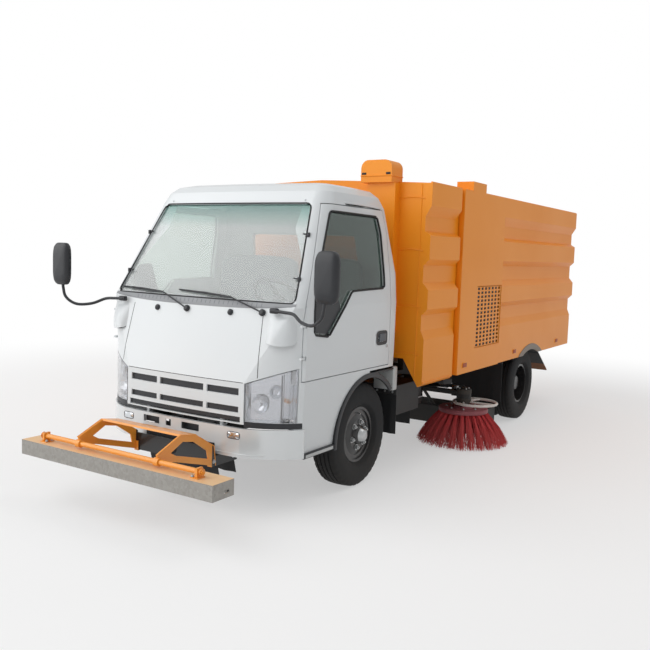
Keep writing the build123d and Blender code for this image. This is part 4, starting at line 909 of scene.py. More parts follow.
def lamp_inside(piece):
    rows = lamp_grid(HOUSING_IN)
    fluted = [[p + at(0, 0.004 * (-1) ** k, 0) if k > 22 else p for k, p in enumerate(row)]
              for row in rows]
    piece.sheet(fluted, pressed_reflector, thick=0.002)
    bowl = [(0.0, 0.0), (0.004, 0.022), (0.012, 0.042), (0.026, 0.058), (0.040, 0.066), (0.044, 0.069),
            (0.044, 0.072), (0.038, 0.073)]
    for bearing, z, share in ((0.16, 0.765, 0.88), (0.62, 0.850, 0.62)):
        seat, way = lamp_spot(bearing, z, HOUSING_IN + 0.003)
        piece.turned([(a * share, r * share) for a, r in bowl], seat, way, pressed_reflector, 40)
        piece.turned([(0.0, 0.011), (0.020, 0.011), (0.026, 0.008), (0.028, 0.0)], seat, way, lens_clear, 20)
    column = [row[24] for row in rows[1:-1]]
    piece.bar([p + at(0.004, -0.022, 0) for p in column], 0.006, moulded_grey, 8)
    piece.turned([(0.0, 0.013), (0.022, 0.015), (0.034, 0.010), (0.037, 0.0)], rows[6][28], (0.6, -0.8, 0),
                 lens_amber, 20)
    near = lamp_grid(LENS_T + 0.002)
    for edge, wall in ((near[0], rows[0]), (rows[-1], near[-1]), ([r[0] for r in rows], [r[0] for r in near]),
                       ([r[-1] for r in near], [r[-1] for r in rows])):
        piece.sheet([edge, [a.lerp(b, 0.5) for a, b in zip(edge, wall)], wall], pressed_reflector)


both_sides(lamp_lens, "headlamp_lens", "cab")
both_sides(lamp_inside, "headlamp_inside", "cab")
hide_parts("headlamps")
print("headlamps fitted")

# %% [markdown]
# ## Mirrors
# A tubular arm leaves the cab's corner, turns out and up, and carries a black moulded head that is
# rounded on every edge, with the silvered glass set in its rear face. The arm is bent from one tube, so it
# is one smooth bar, not three rods.

# %% Mirrors
ARM_POINTS = ((0.700, -1.012, 1.396), (0.790, -1.010, 1.392), (0.880, -1.022, 1.384),
              (0.985, -1.085, 1.345), (1.110, -1.150, 1.338), (1.200, -1.190, 1.385),
              (1.226, -1.198, 1.460), (1.238, -1.200, 1.600))
FAR_REACH = 0.075                       # the far mirror is folded in by this much
HEAD_X, HEAD_Y, HEAD_Z = 1.240, -1.205, 1.640
HEAD_HALF_W, HEAD_HALF_H = 0.086, 0.160
ELBOW_X, ELBOW_LONG = 0.88, 0.32        # the arm bends outwards from here, over this width


def mirror(piece):
    reach = FAR_REACH if piece.name.endswith("right") else 0.0
    arm = [(x - reach * max(0.0, min(1.0, (x - ELBOW_X) / ELBOW_LONG)), y, z) for x, y, z in ARM_POINTS]
    piece.bar(smooth_path(arm), 0.011, moulded_black, 14)
    piece.block((0.680, -1.020, 1.378), (0.740, -0.984, 1.414), moulded_black, 0.008)
    head = HEAD_X - reach
    outline = squircle(40, 4.5)
    rows = [[at(head + HEAD_HALF_W * share * u, HEAD_Y + depth, HEAD_Z + HEAD_HALF_H * share * v)
             for u, v in outline]
            for share, depth in ((0.0, -0.030), (0.55, -0.029), (0.80, -0.024), (0.93, -0.014), (1.0, 0.0),
                                 (1.0, 0.020), (0.96, 0.026))]
    piece.sheet(rows, moulded_black)
    back = [[at(head + (p.x - head) * share, HEAD_Y + 0.024, HEAD_Z + (p.z - HEAD_Z) * share)
             for p in rows[-1]] for share in (1.0, 0.5, 0.02)]
    piece.sheet(back, mirror_silver, smooth=False)


both_sides(mirror, "mirror", "cab")
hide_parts("mirrors")
print("mirrors fitted")

# %% [markdown]
# ## Door and back window trim
# The door glass runs in a black rubber channel with rounded corners. Ahead of it a moulded quarter panel
# fills the low corner under the mirror. The back window has the same seal as the windscreen.

# %% Door and back window trim
DOOR_GLASS = ((-0.785, 1.238), (-0.605, 1.214), (-0.300, 1.522), (0.185, 1.532), (0.185, 1.950),
              (0.150, 2.072), (-0.505, 2.076), (-0.768, 1.570), (-0.790, 1.400))
QUARTER = ((-0.772, 1.252), (-0.612, 1.230), (-0.445, 1.398), (-0.560, 1.660), (-0.720, 1.640),
           (-0.776, 1.420))
QUARTER_MIDDLE = at(-0.650, 1.440, 0)
BACK_GLASS = ((-0.560, 1.430), (0.560, 1.430), (0.520, 1.930), (-0.520, 1.930))


def door_trim(piece):
    middle = at(*(sum(p[i] for p in DOOR_GLASS) / len(DOOR_GLASS) for i in (0, 1)), 0)
    outline = rounded([(*p, 0) for p in DOOR_GLASS], 0.028)
    ring = []
    for p in along(outline + outline[:1], SEAL_STEP)[:-1]:
        away = p + (p - middle).normalized() * 0.004
        ring.append(on_side(away.x, away.y, 0.001))
    piece.bar(ring, 0.008, seal_rubber, 8, closed=True)
    corner = rounded([(*p, 0) for p in QUARTER], 0.02)
    rows = []
    for share in (1.0, 0.8, 0.55, 0.3, 0.02):
        row = [QUARTER_MIDDLE.lerp(p, share) for p in corner]
        rows.append([on_side(p.x, p.y, 0.002) for p in row + row[:1]])
    piece.sheet(rows, moulded_black)


def on_back(x, z):
    """The point of the cab's back wall at this width and height."""
    return on_skin((x, AXLE_Y + 0.58, z), (0, -1, 0), 0.0)


both_sides(door_trim, "door_trim", "door")
back_seal = Piece("back_window_seal")
seal_round(back_seal, [(x * 1.012, z + (0.006 if z > 1.7 else -0.006)) for x, z in BACK_GLASS], 0.05, on_back)
back_seal.done("cab")
print("window trim fitted")

# %% [markdown]
# ## Door furniture
# A recessed pull handle sits near the door's rear edge: a dark dished escutcheon with a paddle in it and a
# lock barrel below.

# %% Door furniture
def pill(piece, centre, half_y, half_z, finish, proud, depth):
    """A rounded plate on the door's skin, dished by a depth towards its middle."""
    rows = [[on_side(centre[0] + half_y * share * u, centre[1] + half_z * share * v, proud - depth * sink)
             for u, v in squircle(32, 5)]
            for share, sink in ((1.0, 0.0), (0.94, 0.6), (0.80, 0.2), (0.55, 1.0), (0.02, 1.0))]
    piece.sheet(rows, finish)


def door_furniture(piece):
    pill(piece, (0.160, 1.148), 0.086, 0.056, moulded_black, 0.004, 0.004)
    middle = on_side(0.172, 1.150, 0.002)
    piece.block(middle - at(0.004, 0.052, 0.030), middle + at(0.006, 0.052, 0.030),
                moulded_grey, 0.005)
    lock = on_side(0.245, 1.078, 0.0)
    barrel = [(0.0, 0.013), (0.004, 0.013), (0.006, 0.010), (0.006, 0.0)]
    piece.turned(barrel, lock, (1, 0, 0), zinc_plate, 24)


both_sides(door_furniture, "door_furniture", "door")
print("door furniture fitted")

# %% [markdown]
# ## The front panel
# The panel above the grille lifts for the fluids, so it has a shut line down both sides and along its
# foot. A grey moulded cowl closes the strip between panel and glass. The grille's slots are open, with black
# sheets of painted shade behind them; without them the chassis would show through. The small blisters at the
# corners are side-air outlets, with a black sheet of painted shade under each scoop's foot.

# %% Front panel
SEAM_W, SEAM_SUNK = 0.0024, -0.0006
COWL_HALF = 0.840
COWL_LOW, COWL_LIFT, COWL_TOP = 1.392, 0.034, 1.446     # its lower edge rises towards the corners
cowl = Piece("scuttle_cowl")
rows = []
for i in range(6):
    row = []
    for x in spread(-COWL_HALF, COWL_HALF, 48):
        low = COWL_LOW + COWL_LIFT * (abs(x) / COWL_HALF) ** 3
        row.append(on_front(x, low + (COWL_TOP - low) * i / 5, 0.003 if 0 < i < 5 else 0.0))
    rows.append(row)
cowl.sheet(rows, cowl_grey)
for x in spread(-0.58, 0.58, 29):
    cowl.bar([on_front(x, 1.412, 0.0035), on_front(x, 1.434, 0.0035)], 0.0016, moulded_grey, 6)
cowl.done("cab")

seams = Piece("front_panel_seams")
for way in (-1, 1):
    line = along([(0.604, 1.372, 0), (0.618, 1.16, 0), (0.632, 0.945, 0)], 0.02)
    seams.bar([on_front(way * p.x, p.y, SEAM_SUNK) for p in line], SEAM_W, seal_rubber, 6)
seams.bar([on_front(x, 0.9065, SEAM_SUNK) for x in spread(-0.538, 0.538, 40)], SEAM_W, seal_rubber, 6)
seams.done("cab")

# black sheets behind the grille's slots: painted shade of the space behind them
duct = Piece("grille_shade_sheets")
# half width, height where the skin is felt, depth behind it, heights of the rows
for half, felt, depth, levels in ((0.528, 0.782, 0.014, (0.645, 0.690, 0.780, 0.880)),
                                  (0.540, 0.700, 0.010, (0.642, 0.655, 0.674))):
    bow = [at(x, on_front(x, felt).y + depth, 0) for x in spread(-half, half, 30)]
    duct.sheet([[p + at(0, 0, z) for p in bow] for z in levels], moulded_black)
duct.done("cab")

SCOOP_X, SCOOP_HALF, SCOOP_TOP, SCOOP_LONG, SCOOP_SWELL = 0.752, 0.098, 1.372, 0.175, 0.040


def blister(piece):
    """An air outlet under the screen's corner: a scoop that swells towards its open foot."""
    across = spread(-1, 1, 20)
    rows = []
    for t in spread(0, 1, 12):
        row = []
        for u in across:
            z = SCOOP_TOP - SCOOP_LONG * t - 0.030 * sqrt(max(0.0, 1 - u * u)) * t
            swell = (1 - abs(u) ** 3) * sin(min(1.0, 1.25 * t) * pi / 2)
            row.append(on_front(SCOOP_X + SCOOP_HALF * u, z, -0.002 + SCOOP_SWELL * swell))
        rows.append(row)
    # a black sheet from the scoop's lower edge to the skin: painted shade under and inside the outlet
    foot = [on_front(SCOOP_X + SCOOP_HALF * u, p.z - 0.002, -0.001) for u, p in zip(across, rows[-1])]
    piece.sheet(rows, cab_enamel)
    piece.sheet([rows[-1], [a.lerp(b, 0.5) for a, b in zip(rows[-1], foot)], foot], moulded_black)


both_sides(blister, "corner_blister", "cab")
print("front panel dressed")

# %% [markdown]
# ## Cab edges
# A rain gutter runs over each door with a black bar under it as its painted shadow, and two clips hold each
# screen pillar's cover. A black strip under each headlamp is painted shade in the gap there. The wheel arch
# has a rolled plastic lip, the step a grey tread strip, and a small grey box stands behind each door. Behind
# the bumper hang two black rubber sheets, painted shade where it falls under the bumper.

# %% Gutters, clips, arch lips and step strips
def cab_edges(piece):
    gutter = [on_side(y, z, 0.002) for y, z in ((-0.560, 2.150), (-0.30, 2.152), (0.0, 2.150),
                                                (0.215, 2.143))]
    piece.bar(smooth_path(gutter), 0.009, cab_enamel, 10)
    # a black bar under the gutter: its painted shadow
    shade = [point - at(0.003, 0, 0.012) for point in gutter]
    piece.bar(smooth_path(shade), 0.005, seal_rubber, 8)
    for x, z in ((0.800, 1.605), (0.752, 1.905)):
        clip = on_front(x, z, 0.004)
        piece.block(clip - at(0.010, 0.012, 0.016), clip + at(0.010, 0.008, 0.016), moulded_black,
                    0.005)
        piece.bar([clip, clip + at(-0.045, -0.004, 0.006)], 0.005, moulded_black, 8)
    # a black strip under the headlamp: painted shade in the gap between lamp and bumper
    under = [[on_front(x, z, 0.0015) for x in spread(0.552, 0.878, 14)] for z in (0.628, 0.638, 0.647)]
    piece.sheet([[p - at(0, 0, 0.020) for p in under[0]]] + under, moulded_black)
    arch = [radians(a) for a in spread(-2, 138, 48)]
    lip = [[at(x, -radius * cos(a), AXLE_Z + radius * sin(a)) for a in arch]
           for radius, x in ((0.4855, 0.884), (0.4860, 0.893), (0.478, 0.8955), (0.452, 0.892),
                             (0.450, 0.880))]
    piece.sheet(lip, moulded_black, thick=0.002)
    piece.block((0.800, -0.868, 0.396), (0.893, -0.486, 0.432), moulded_black, 0.006)
    piece.block((0.872, -0.850, 0.402), (0.8965, -0.505, 0.424), light_grey, 0.004)
    piece.block((0.700, 0.392, 0.698), (0.886, 0.468, 0.894), light_grey, 0.014)


both_sides(cab_edges, "cab_edges", "cab")
# two black sheets under the bumper: painted shade where it falls behind the bumper
apron = Piece("under_bumper_shade_apron")
hang = [[at(x, -0.985 + 0.006 * sin(0.9 * k) + 0.02 * i, 0.520 - 0.075 * i)
         for k, x in enumerate(spread(0.14, 0.34, 10))] for i in range(5)]
apron.sheet(hang, seal_rubber, thick=0.003)
apron.sheet([[at(-p.x, p.y, p.z) for p in reversed(row)] for row in hang], seal_rubber, thick=0.003)
apron.done("chassis")
print("cab edges trimmed")

# %% [markdown]
# ## Curtains and the oil tank
# Rubber curtains close the underbody behind the front wheels, ahead of the brooms and ahead of the rear
# wheels; being black, they are also painted shade, filling the dark under the body. Each is held by a
# clamping bar with four bolts and waves slightly at its free edge. The guard ahead of the right rear wheel is
# narrower, to leave room for the suction neck when the nozzle lifts. The oil tank hangs on the frame's left
# side under two straps, with two hoses to the broom's arm.

# %% Rubber curtains, splash guards and the oil tank
WHEEL_CURTAIN = (0.600, 0.880, 0.470, 0.330, 0.700)     # inner x, outer x, station, lower z, upper z
MIDDLE_CURTAIN = (0.020, 0.600, 1.300, 0.235, 0.620)
REAR_GUARDS = {1: (0.440, 0.990, 2.620, 0.300, 0.742), -1: (0.705, 0.990, 2.620, 0.350, 0.742)}

# the curtains are real dust curtains and also painted shade, filling the dark under the body
curtains = Piece("rubber_curtains_and_underbody_shade")
for way in (-1, 1):
    for x0, x1, station, low, high in (WHEEL_CURTAIN, REAR_GUARDS[way], MIDDLE_CURTAIN):
        fall = [[at(way * x, station + 0.006 * sin(1.3 * k) * (1 - i / 5), z)
                 for k, x in enumerate(spread(x0, x1, 16))] for i, z in enumerate(spread(low, high, 5))]
        curtains.sheet(fall if way > 0 else [row[::-1] for row in fall], seal_rubber, thick=0.006)
        curtains.slab(way, x0, x1, station - 0.004, station + 0.012, high - 0.045, high - 0.004,
                      frame_paint, 0.002)
        a, b = sorted((way * x0, way * x1))
        for k in range(4):
            bolt = a + (b - a) * (k + 0.5) / 4
            curtains.nut((bolt, station - 0.005, high - 0.024), (0, -1, 0), 0.013, 0.008, zinc_plate)
curtains.done("chassis")

oil = Piece("oil_tank")
oil.block((0.470, 1.060, 0.430), (0.690, 1.350, 0.690), frame_paint, 0.016)
oil.turned([(0.0, 0.030), (0.020, 0.030), (0.026, 0.024), (0.026, 0.0)], (0.580, 1.120, 0.690), (0, 0, 1),
           moulded_black, 24)
for z in (0.500, 0.620):
    oil.run((0.694, 1.056, z), (0.694, 1.354, z), 0.1, 0.006, zinc_plate)
for lift in (0.0, 0.05):
    hose = [(0.640, 1.350, 0.480), (0.640, 1.450, 0.470), (0.560, 1.600, 0.505), (0.470, 1.760, 0.540)]
    oil.bar(smooth_path([(x, y, z + lift) for x, y, z in hose]), 0.011, seal_rubber, 10)
oil.done("chassis")
print("underbody dressed")

# %% [markdown]
# ## Bumper
# The silver bumper has three openings with a dark tray behind each, and a small lamp with a black rim
# either side of them. A rubber skirt hangs under its middle.

# %% Bumper
BUMPER_SKIN = skin_of("front_bumper")
LAMP_X = 0.495


def on_bumper(x, z, proud):
    """The point of the bumper's front at this width and height."""
    return on_front(x, z, proud, BUMPER_SKIN)


bumper_parts = Piece("bumper_trays_and_lamps")
for x0, x1 in ((-0.334, -0.174), (-0.110, -0.060), (0.040, 0.200)):
    tray = [[at(x, -1.110, z) for x in spread(x0 - 0.004, x1 + 0.004, 6)]
            for z in (0.532, 0.545, 0.560, 0.574, 0.586)]
    bumper_parts.sheet(tray, moulded_black)
for way in (-1, 1):
    lamp = []
    for share in (1.0, 0.85, 0.02):
        proud = 0.0035 if share < 1 else 0.0
        ring = [on_bumper(way * LAMP_X + 0.050 * share * u, 0.552 + 0.023 * share * v, proud)
                for u, v in squircle(24, 6)]
        lamp.append(ring[::way])
    bumper_parts.sheet(lamp, pressed_reflector)
    bumper_parts.bar(lamp[0][:-1], 0.003, moulded_black, 6, closed=True)
bumper_parts.bar([on_bumper(x, 0.428, 0.0005) for x in spread(-0.70, 0.70, 60)], 0.003, bumper_enamel, 8)
skirt = [[on_bumper(x, z, 0.0025) for x in spread(-0.30, 0.34, 20)] for z in (0.432, 0.455, 0.478)]
hang = [[p + at(0, 0.012 * (i + 1), -0.030 * (i + 1) - 0.012 * i) for p in skirt[0]] for i in range(5)]
bumper_parts.sheet(hang[::-1] + skirt, seal_rubber, thick=0.002)
bumper_parts.done("chassis")
print("bumper dressed")

# %% [markdown]
# ## Front bar fittings
# The orange tube is closed by a nut at each end, bolted down through its lugs, and pivots in two sleeves
# on the pentagon plates. Nuts and weld beads are modelled, since they break the outlines.

# %% Front bar fittings
fittings = Piece("front_bar_fittings")
TUBE_Y, TUBE_Z = -1.700, 0.467
WELD_R = 0.0035
for way in (-1, 1):
    fittings.nut((way * 0.726, TUBE_Y, TUBE_Z), (way, 0, 0), 0.030, 0.012, bar_enamel)
    for y in (-1.722, -1.678):
        fittings.nut((way * 0.668, y, 0.435), (0, 0, 1), 0.016, 0.010, zinc_plate)
    fittings.run((way * 0.8695, -1.640, 0.366), (way * 0.8695, -1.625, 0.366), 0.005, 0.004, frame_paint)
    fittings.run((way * 0.700, -1.735, 0.4355), (way * 0.700, -1.665, 0.4355), 0.01, WELD_R, bar_enamel, 6)
fittings.done("front_bar")

carrier = Piece("carrier_fittings")
for way in (-1, 1):
    for y, z in ((-1.180, 0.360), (-0.975, 0.360), (-0.975, 0.480)):
        carrier.nut((way * 0.367, y, z), (way, 0, 0), 0.019, 0.012, zinc_plate)
    rim = [(-1.712, 0.512), (-1.505, 0.600), (-1.360, 0.575), (-1.180, 0.468), (-1.160, 0.330)]
    carrier.bar(along([(way * 0.368, y, z) for y, z in rim], 0.04), WELD_R, bar_enamel, 6)
carrier.done("chassis")
print("front bar dressed")

# %% [markdown]
# ## The orange body
# A grille covers the engine bay on each side. It is a plate punched with rows of wide slots, so it is made
# as a plate with real openings, and it replaces the blank plate of the frame.

# %% Grille plates
GRILLE_Y = (1.665, 2.275)
GRILLE_Z = (0.960, 1.520)
GRILLE_COLUMNS, GRILLE_ROWS = 7, 15
SLOT_Y, SLOT_Z = 0.052, 0.023
PLATE_T = 0.004
EDGE, SHADE_SHEET_BACK = 0.008, 0.020   # the edge bead is this far outside the slots, the sheet of painted shade this far behind


def punched_plate(piece):
    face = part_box("side_grilles")[1][0]
    depth = face - PLATE_T
    pitch_y = (GRILLE_Y[1] - GRILLE_Y[0]) / GRILLE_COLUMNS
    pitch_z = (GRILLE_Z[1] - GRILLE_Z[0]) / GRILLE_ROWS
    for i in range(GRILLE_COLUMNS):
        for k in range(GRILLE_ROWS):
            y0, z0 = GRILLE_Y[0] + i * pitch_y, GRILLE_Z[0] + k * pitch_z
            my, mz = y0 + pitch_y / 2, z0 + pitch_z / 2
            outer = [(y0, z0), (y0 + pitch_y, z0), (y0 + pitch_y, z0 + pitch_z), (y0, z0 + pitch_z)]
            inner = [(my + a * SLOT_Y / 2, mz + b * SLOT_Z / 2) for a, b in SQUARE]
            verts = [(face, y, z) for y, z in outer + inner] + [(depth, y, z) for y, z in inner + outer]
            piece.add(verts, grid_faces(4, 4, False, True), body_enamel)
    for z in (GRILLE_Z[0] - EDGE, GRILLE_Z[1] + EDGE):
        piece.run((face - 0.002, GRILLE_Y[0] - 0.01, z), (face - 0.002, GRILLE_Y[1] + 0.01, z), 0.1, 0.004,
                  body_enamel, 6)
    # a black sheet behind the slots: painted shade of the engine bay seen through them
    shade = [[at(face - SHADE_SHEET_BACK, y, z) for y in (GRILLE_Y[0], 1.85, 2.05, GRILLE_Y[1])]
             for z in (GRILLE_Z[0], 1.15, 1.35, GRILLE_Z[1])]
    piece.sheet(shade, moulded_black)


both_sides(punched_plate, "grille_plate", "hopper")
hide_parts("side_grilles")
print("grille plates punched")

# %% [markdown]
# ## Ridges, roofs and reflectors
# The tank's front has horizontal pressed ridges, and both boxes a bound upper edge. Their roofs are
# cambered, small amber reflectors sit low on the hopper's sides, and a grey rubber lip lines its wheel
# arches. The hood on the tank's roof has a band and two small black vents. Two black rubber strips seal
# the hopper's top above the tailgate.

# %% Ridges, edge binding and reflectors
ROOF_Z, ROOF_HALF, CROWN = 2.3710, 1.040, 0.043
BIND_X, BIND_Z, BIND_R = 1.050, 2.3735, 0.009
TANK_Y = 0.600              # station of the tank's front
ARCH_MIDDLE_Z, ARCH_FOOT_Z = 0.086, 0.745
BAY_SIDE, HOPPER_SIDE = 1.0602, 1.0402      # how far out the engine bay and the hopper reach
BAY_END = 2.29              # station where the one gives way to the other


def crown_over(piece, front, back):
    """A cambered roof sheet with its two gables, so that rain runs off to the sides."""
    widths = [ROOF_HALF * (k - 10) / 10 for k in range(21)]

    def line(y):
        return [at(x, y, ROOF_Z + CROWN * (1 - abs(x) / ROOF_HALF) ** 0.9) for x in widths]

    piece.sheet([line(y) for y in spread(front, back, 8)], body_enamel)
    for y, way in ((front, 1), (back, -1)):
        foot, head = [at(x, y, ROOF_Z - 0.004) for x in widths], line(y)
        piece.sheet([foot, [a.lerp(b, 0.5) for a, b in zip(foot, head)], head][::way], body_enamel)


tank_parts = Piece("tank_ridges")
for z in (2.250, 1.830, 1.370, 0.980):
    for x0, x1 in ((-1.000, -0.250), (-0.250, 0.506), (0.780, 1.000)):
        path = [at(x, TANK_Y - 0.002, z + 0.010 * sin(pi * k / 12))
                for k, x in enumerate(spread(x0, x1, 12))]
        tank_parts.bar(path, 0.0055, body_enamel, 8)
for x in (-0.97, -0.25, 0.97):
    tank_parts.run((x, TANK_Y - 0.001, 0.80), (x, TANK_Y - 0.001, 2.36), 0.2, 0.0045, body_enamel)
for way in (-1, 1):
    tank_parts.run((way * BIND_X, 0.605, BIND_Z), (way * BIND_X, 1.205, BIND_Z), 0.1, BIND_R, body_enamel)
    tank_parts.run((way * 1.0405, 0.605, 0.752), (way * 1.0405, 1.195, 0.752), 0.1, 0.006, body_enamel)
band = [(0.4685, 0.4745, 2.425), (0.7545, 0.4745, 2.425), (0.7545, 0.664, 2.425)]
tank_parts.bar(along(band, 0.05), 0.006, body_enamel, 8)
for x in (0.478, 0.702):
    tank_parts.block((x, 0.4725, 2.434), (x + 0.040, 0.4765, 2.452), seal_rubber, 0.001)
crown_over(tank_parts, 0.602, 1.258)
tank_parts.done("chassis")

body_parts = Piece("hopper_trim")
for way in (-1, 1):
    body_parts.run((way * BIND_X, 1.280, BIND_Z), (way * BIND_X, 4.820, BIND_Z), 0.3, BIND_R, body_enamel)
    for station in (1.43, 2.82, 4.32):
        x = BAY_SIDE if station < BAY_END else HOPPER_SIDE
        body_parts.slab(way, x, x + 0.007, station - 0.045, station + 0.045, 0.800, 0.838, reflex_amber,
                        0.003)
        body_parts.slab(way, x - 0.001, x + 0.003, station - 0.052, station + 0.052, 0.794, 0.844,
                        body_enamel, 0.002)
    lip = []
    for radius, x in ((0.771, 1.0405), (0.768, 1.0455), (0.712, 1.0455), (0.709, 1.036)):
        half = acos((ARCH_FOOT_Z - ARCH_MIDDLE_Z) / radius)
        lip.append([at(way * x, WHEELBASE - way * radius * sin(a), ARCH_MIDDLE_Z + radius * cos(a))
                    for a in spread(half, -half, 40)])
    body_parts.sheet(lip, arch_grey, thick=0.003)
    body_parts.slab(way, 1.008, 1.0595, 1.2675, 1.2712, 0.750, 2.364, body_enamel, 0.001)
for z in (1.0, 1.6, 2.2):
    for way in (-1, 1):
        body_parts.nut((way * 0.90, 4.829, z), (0, 1, 0), 0.018, 0.006, zinc_plate)
for z in (2.290, 2.318):
    body_parts.run((-0.99, 4.831, z), (0.99, 4.831, z), 0.2, 0.013, seal_rubber)
crown_over(body_parts, 1.283, 4.800)
body_parts.done("hopper")
print("body trimmed")

# %% [markdown]
# ## Tailgate
# The gate is shut by a toggle latch at each lower corner. Below it the number plate is bare, and the lamps
# are in red and amber sections with dark bezels.

# %% Tailgate and rear lamps
gate_parts = Piece("tailgate_latches")
GATE_Y = 4.875
for way in (-1, 1):
    x = way * 0.86
    gate_parts.block((x - 0.035, GATE_Y, 0.835), (x + 0.035, GATE_Y + 0.014, 0.955), frame_paint, 0.004)
    gate_parts.bar(smooth_path([(x, GATE_Y + 0.014, 0.850), (x, GATE_Y + 0.016, 0.900),
                                (x + way * 0.01, GATE_Y + 0.016, 0.990)]), 0.0035, zinc_plate, 10)
    for z in (0.850, 0.940):
        gate_parts.nut((x - 0.024 * way, GATE_Y + 0.0135, z), (0, 1, 0), 0.010, 0.004, zinc_plate)
    for z in (1.18, 1.56, 1.94):
        gate_parts.nut((way * 0.93, 4.892, z), (0, 1, 0), 0.016, 0.001, zinc_plate)
gate_parts.done("tailgate")

rear_lamps = Piece("rear_lamp_bezels")
TAIL_Y, TAIL_LOW, TAIL_HIGH = 4.613, 0.524, 0.606       # the bezel's station and height
for way in (-1, 1):
    for x0, x1, finish in ((0.402, 0.468, lens_red), (0.474, 0.540, lens_amber), (0.546, 0.610, lens_red)):
        rear_lamps.slab(way, x0, x1, 4.6102, 4.6195, 0.528, 0.602, finish, 0.004)
    a, b = sorted((way * 0.394, way * 0.618))
    bezel = [(x, TAIL_Y, z) for x, z in ((a, TAIL_LOW), (b, TAIL_LOW), (b, TAIL_HIGH), (a, TAIL_HIGH),
                                         (a, TAIL_LOW))]
    rear_lamps.bar(along(bezel, 0.05)[:-1], 0.004, moulded_black, 6, closed=True)
rear_lamps.block((-0.26, 4.6202, 0.425), (0.26, 4.6225, 0.515), plate_blank, 0.001)
rear_lamps.done("chassis")
print("rear dressed")

# %% [markdown]
# ## Brooms
# A gutter broom is a round board carrying tufts of polypropylene wire, each tuft splayed by the board's
# drilled holes and swept outwards where it meets the road. A textured cone would give no gaps between
# tufts, so each wire is a thin three-sided bar. Their order and lean are random from one fixed seed.

# %% Brooms
BROOM = at(0.875, 1.910, 0.0)
TUFTS = 26
WIRES = 66
WIRE_R = 0.0021
WIRE_TAPER = 0.35
WIRE_STEPS = 4
ROOT_Z = 0.302
OUTER_ROOTS, INNER_ROOTS = (0.176, 0.228), (0.120, 0.180)   # radii the wires start between
INNER_TIPS = (0.210, 0.372)
OUTER_TIP, OUTER_REACH = 0.330, 0.112                       # least radius of a tip, and the most added
ROOT_LEAN, TIP_LEAN, INNER_LEAN = 0.034, 0.066, 0.06        # how far wires stray round the board, radians
OUTER_BOW, INNER_BOW = 0.026, 0.020


def wire(piece, start, end, bow):
    """One three-sided wire, bowed outwards between its root and its tip."""
    verts = []
    for i in range(WIRE_STEPS + 1):
        t = i / WIRE_STEPS
        point = start.lerp(end, t) + bow * sin(pi * t)
        thin = WIRE_R * (1.0 - WIRE_TAPER * t)
        for k in range(3):
            a = tau * k / 3
            verts.append(point + at(cos(a), sin(a), 0) * thin)
    last = WIRE_STEPS * 3
    faces = grid_faces(WIRE_STEPS + 1, 3, False, True) + [(2, 1, 0), (last, last + 1, last + 2)]
    piece.add(verts, faces, bristle_fibre, True)


def broom(piece):
    dice = random.Random(7)
    for tuft in range(TUFTS):
        around = tau * tuft / TUFTS
        for _ in range(WIRES):
            turn = around + dice.gauss(0, ROOT_LEAN)
            fan = around + dice.gauss(0, TIP_LEAN)
            root = dice.uniform(*OUTER_ROOTS)
            tip = OUTER_TIP + OUTER_REACH * dice.random() ** 0.7
            drop = 0.006 + 0.016 * dice.random()
            out = at(cos(turn), sin(turn), 0)
            far = at(cos(fan), sin(fan), 0)
            start = BROOM + out * root + at(0, 0, ROOT_Z)
            end = BROOM + far * tip + at(0, 0, drop)
            wire(piece, start, end, out * OUTER_BOW)
    for tuft in range(TUFTS):
        around = tau * (tuft + 0.5) / TUFTS
        for _ in range(WIRES * 2 // 3):
            turn = around + dice.gauss(0, INNER_LEAN)
            out = at(cos(turn), sin(turn), 0)
            start = BROOM + out * dice.uniform(*INNER_ROOTS) + at(0, 0, ROOT_Z)
            end = BROOM + out * dice.uniform(*INNER_TIPS) + at(0, 0, 0.010 + 0.02 * dice.random())
            wire(piece, start, end, out * INNER_BOW)
    board = [(0.300, 0.0), (0.298, 0.15), (0.297, 0.226), (0.301, 0.234), (0.310, 0.2365), (0.332, 0.2365),
             (0.339, 0.233), (0.3405, 0.222), (0.3405, 0.090), (0.352, 0.086), (0.354, 0.060),
             (0.356, 0.0155), (0.430, 0.0150), (0.430, 0.0)]
    piece.turned(board, BROOM, (0, 0, 1), broom_board, 64)
    for k in range(8):
        a = tau * (k + 0.5) / 8
        piece.nut(BROOM + at(0.160 * cos(a), 0.160 * sin(a), 0.340), (0, 0, 1), 0.019, 0.010,
                  zinc_plate)


both_sides(broom, "gutter_broom", "broom", "broom")
print("brooms tufted")

# %% [markdown]
# ## Broom drives
# A white guard ring on three stays keeps the broom off kerbs. A hydraulic motor stands on the board, fed by
# two rubber hoses along the arm, and a short cylinder on the arm lifts the broom.

# %% Broom arm, guard ring and drive
RING_X, RING_Y, RING_Z, RING_R = 0.985, 1.930, 0.396, 0.205


def on_ring(angle, z):
    """The point of the guard ring at an angle."""
    return at(RING_X + RING_R * cos(angle), RING_Y + RING_R * sin(angle), z)


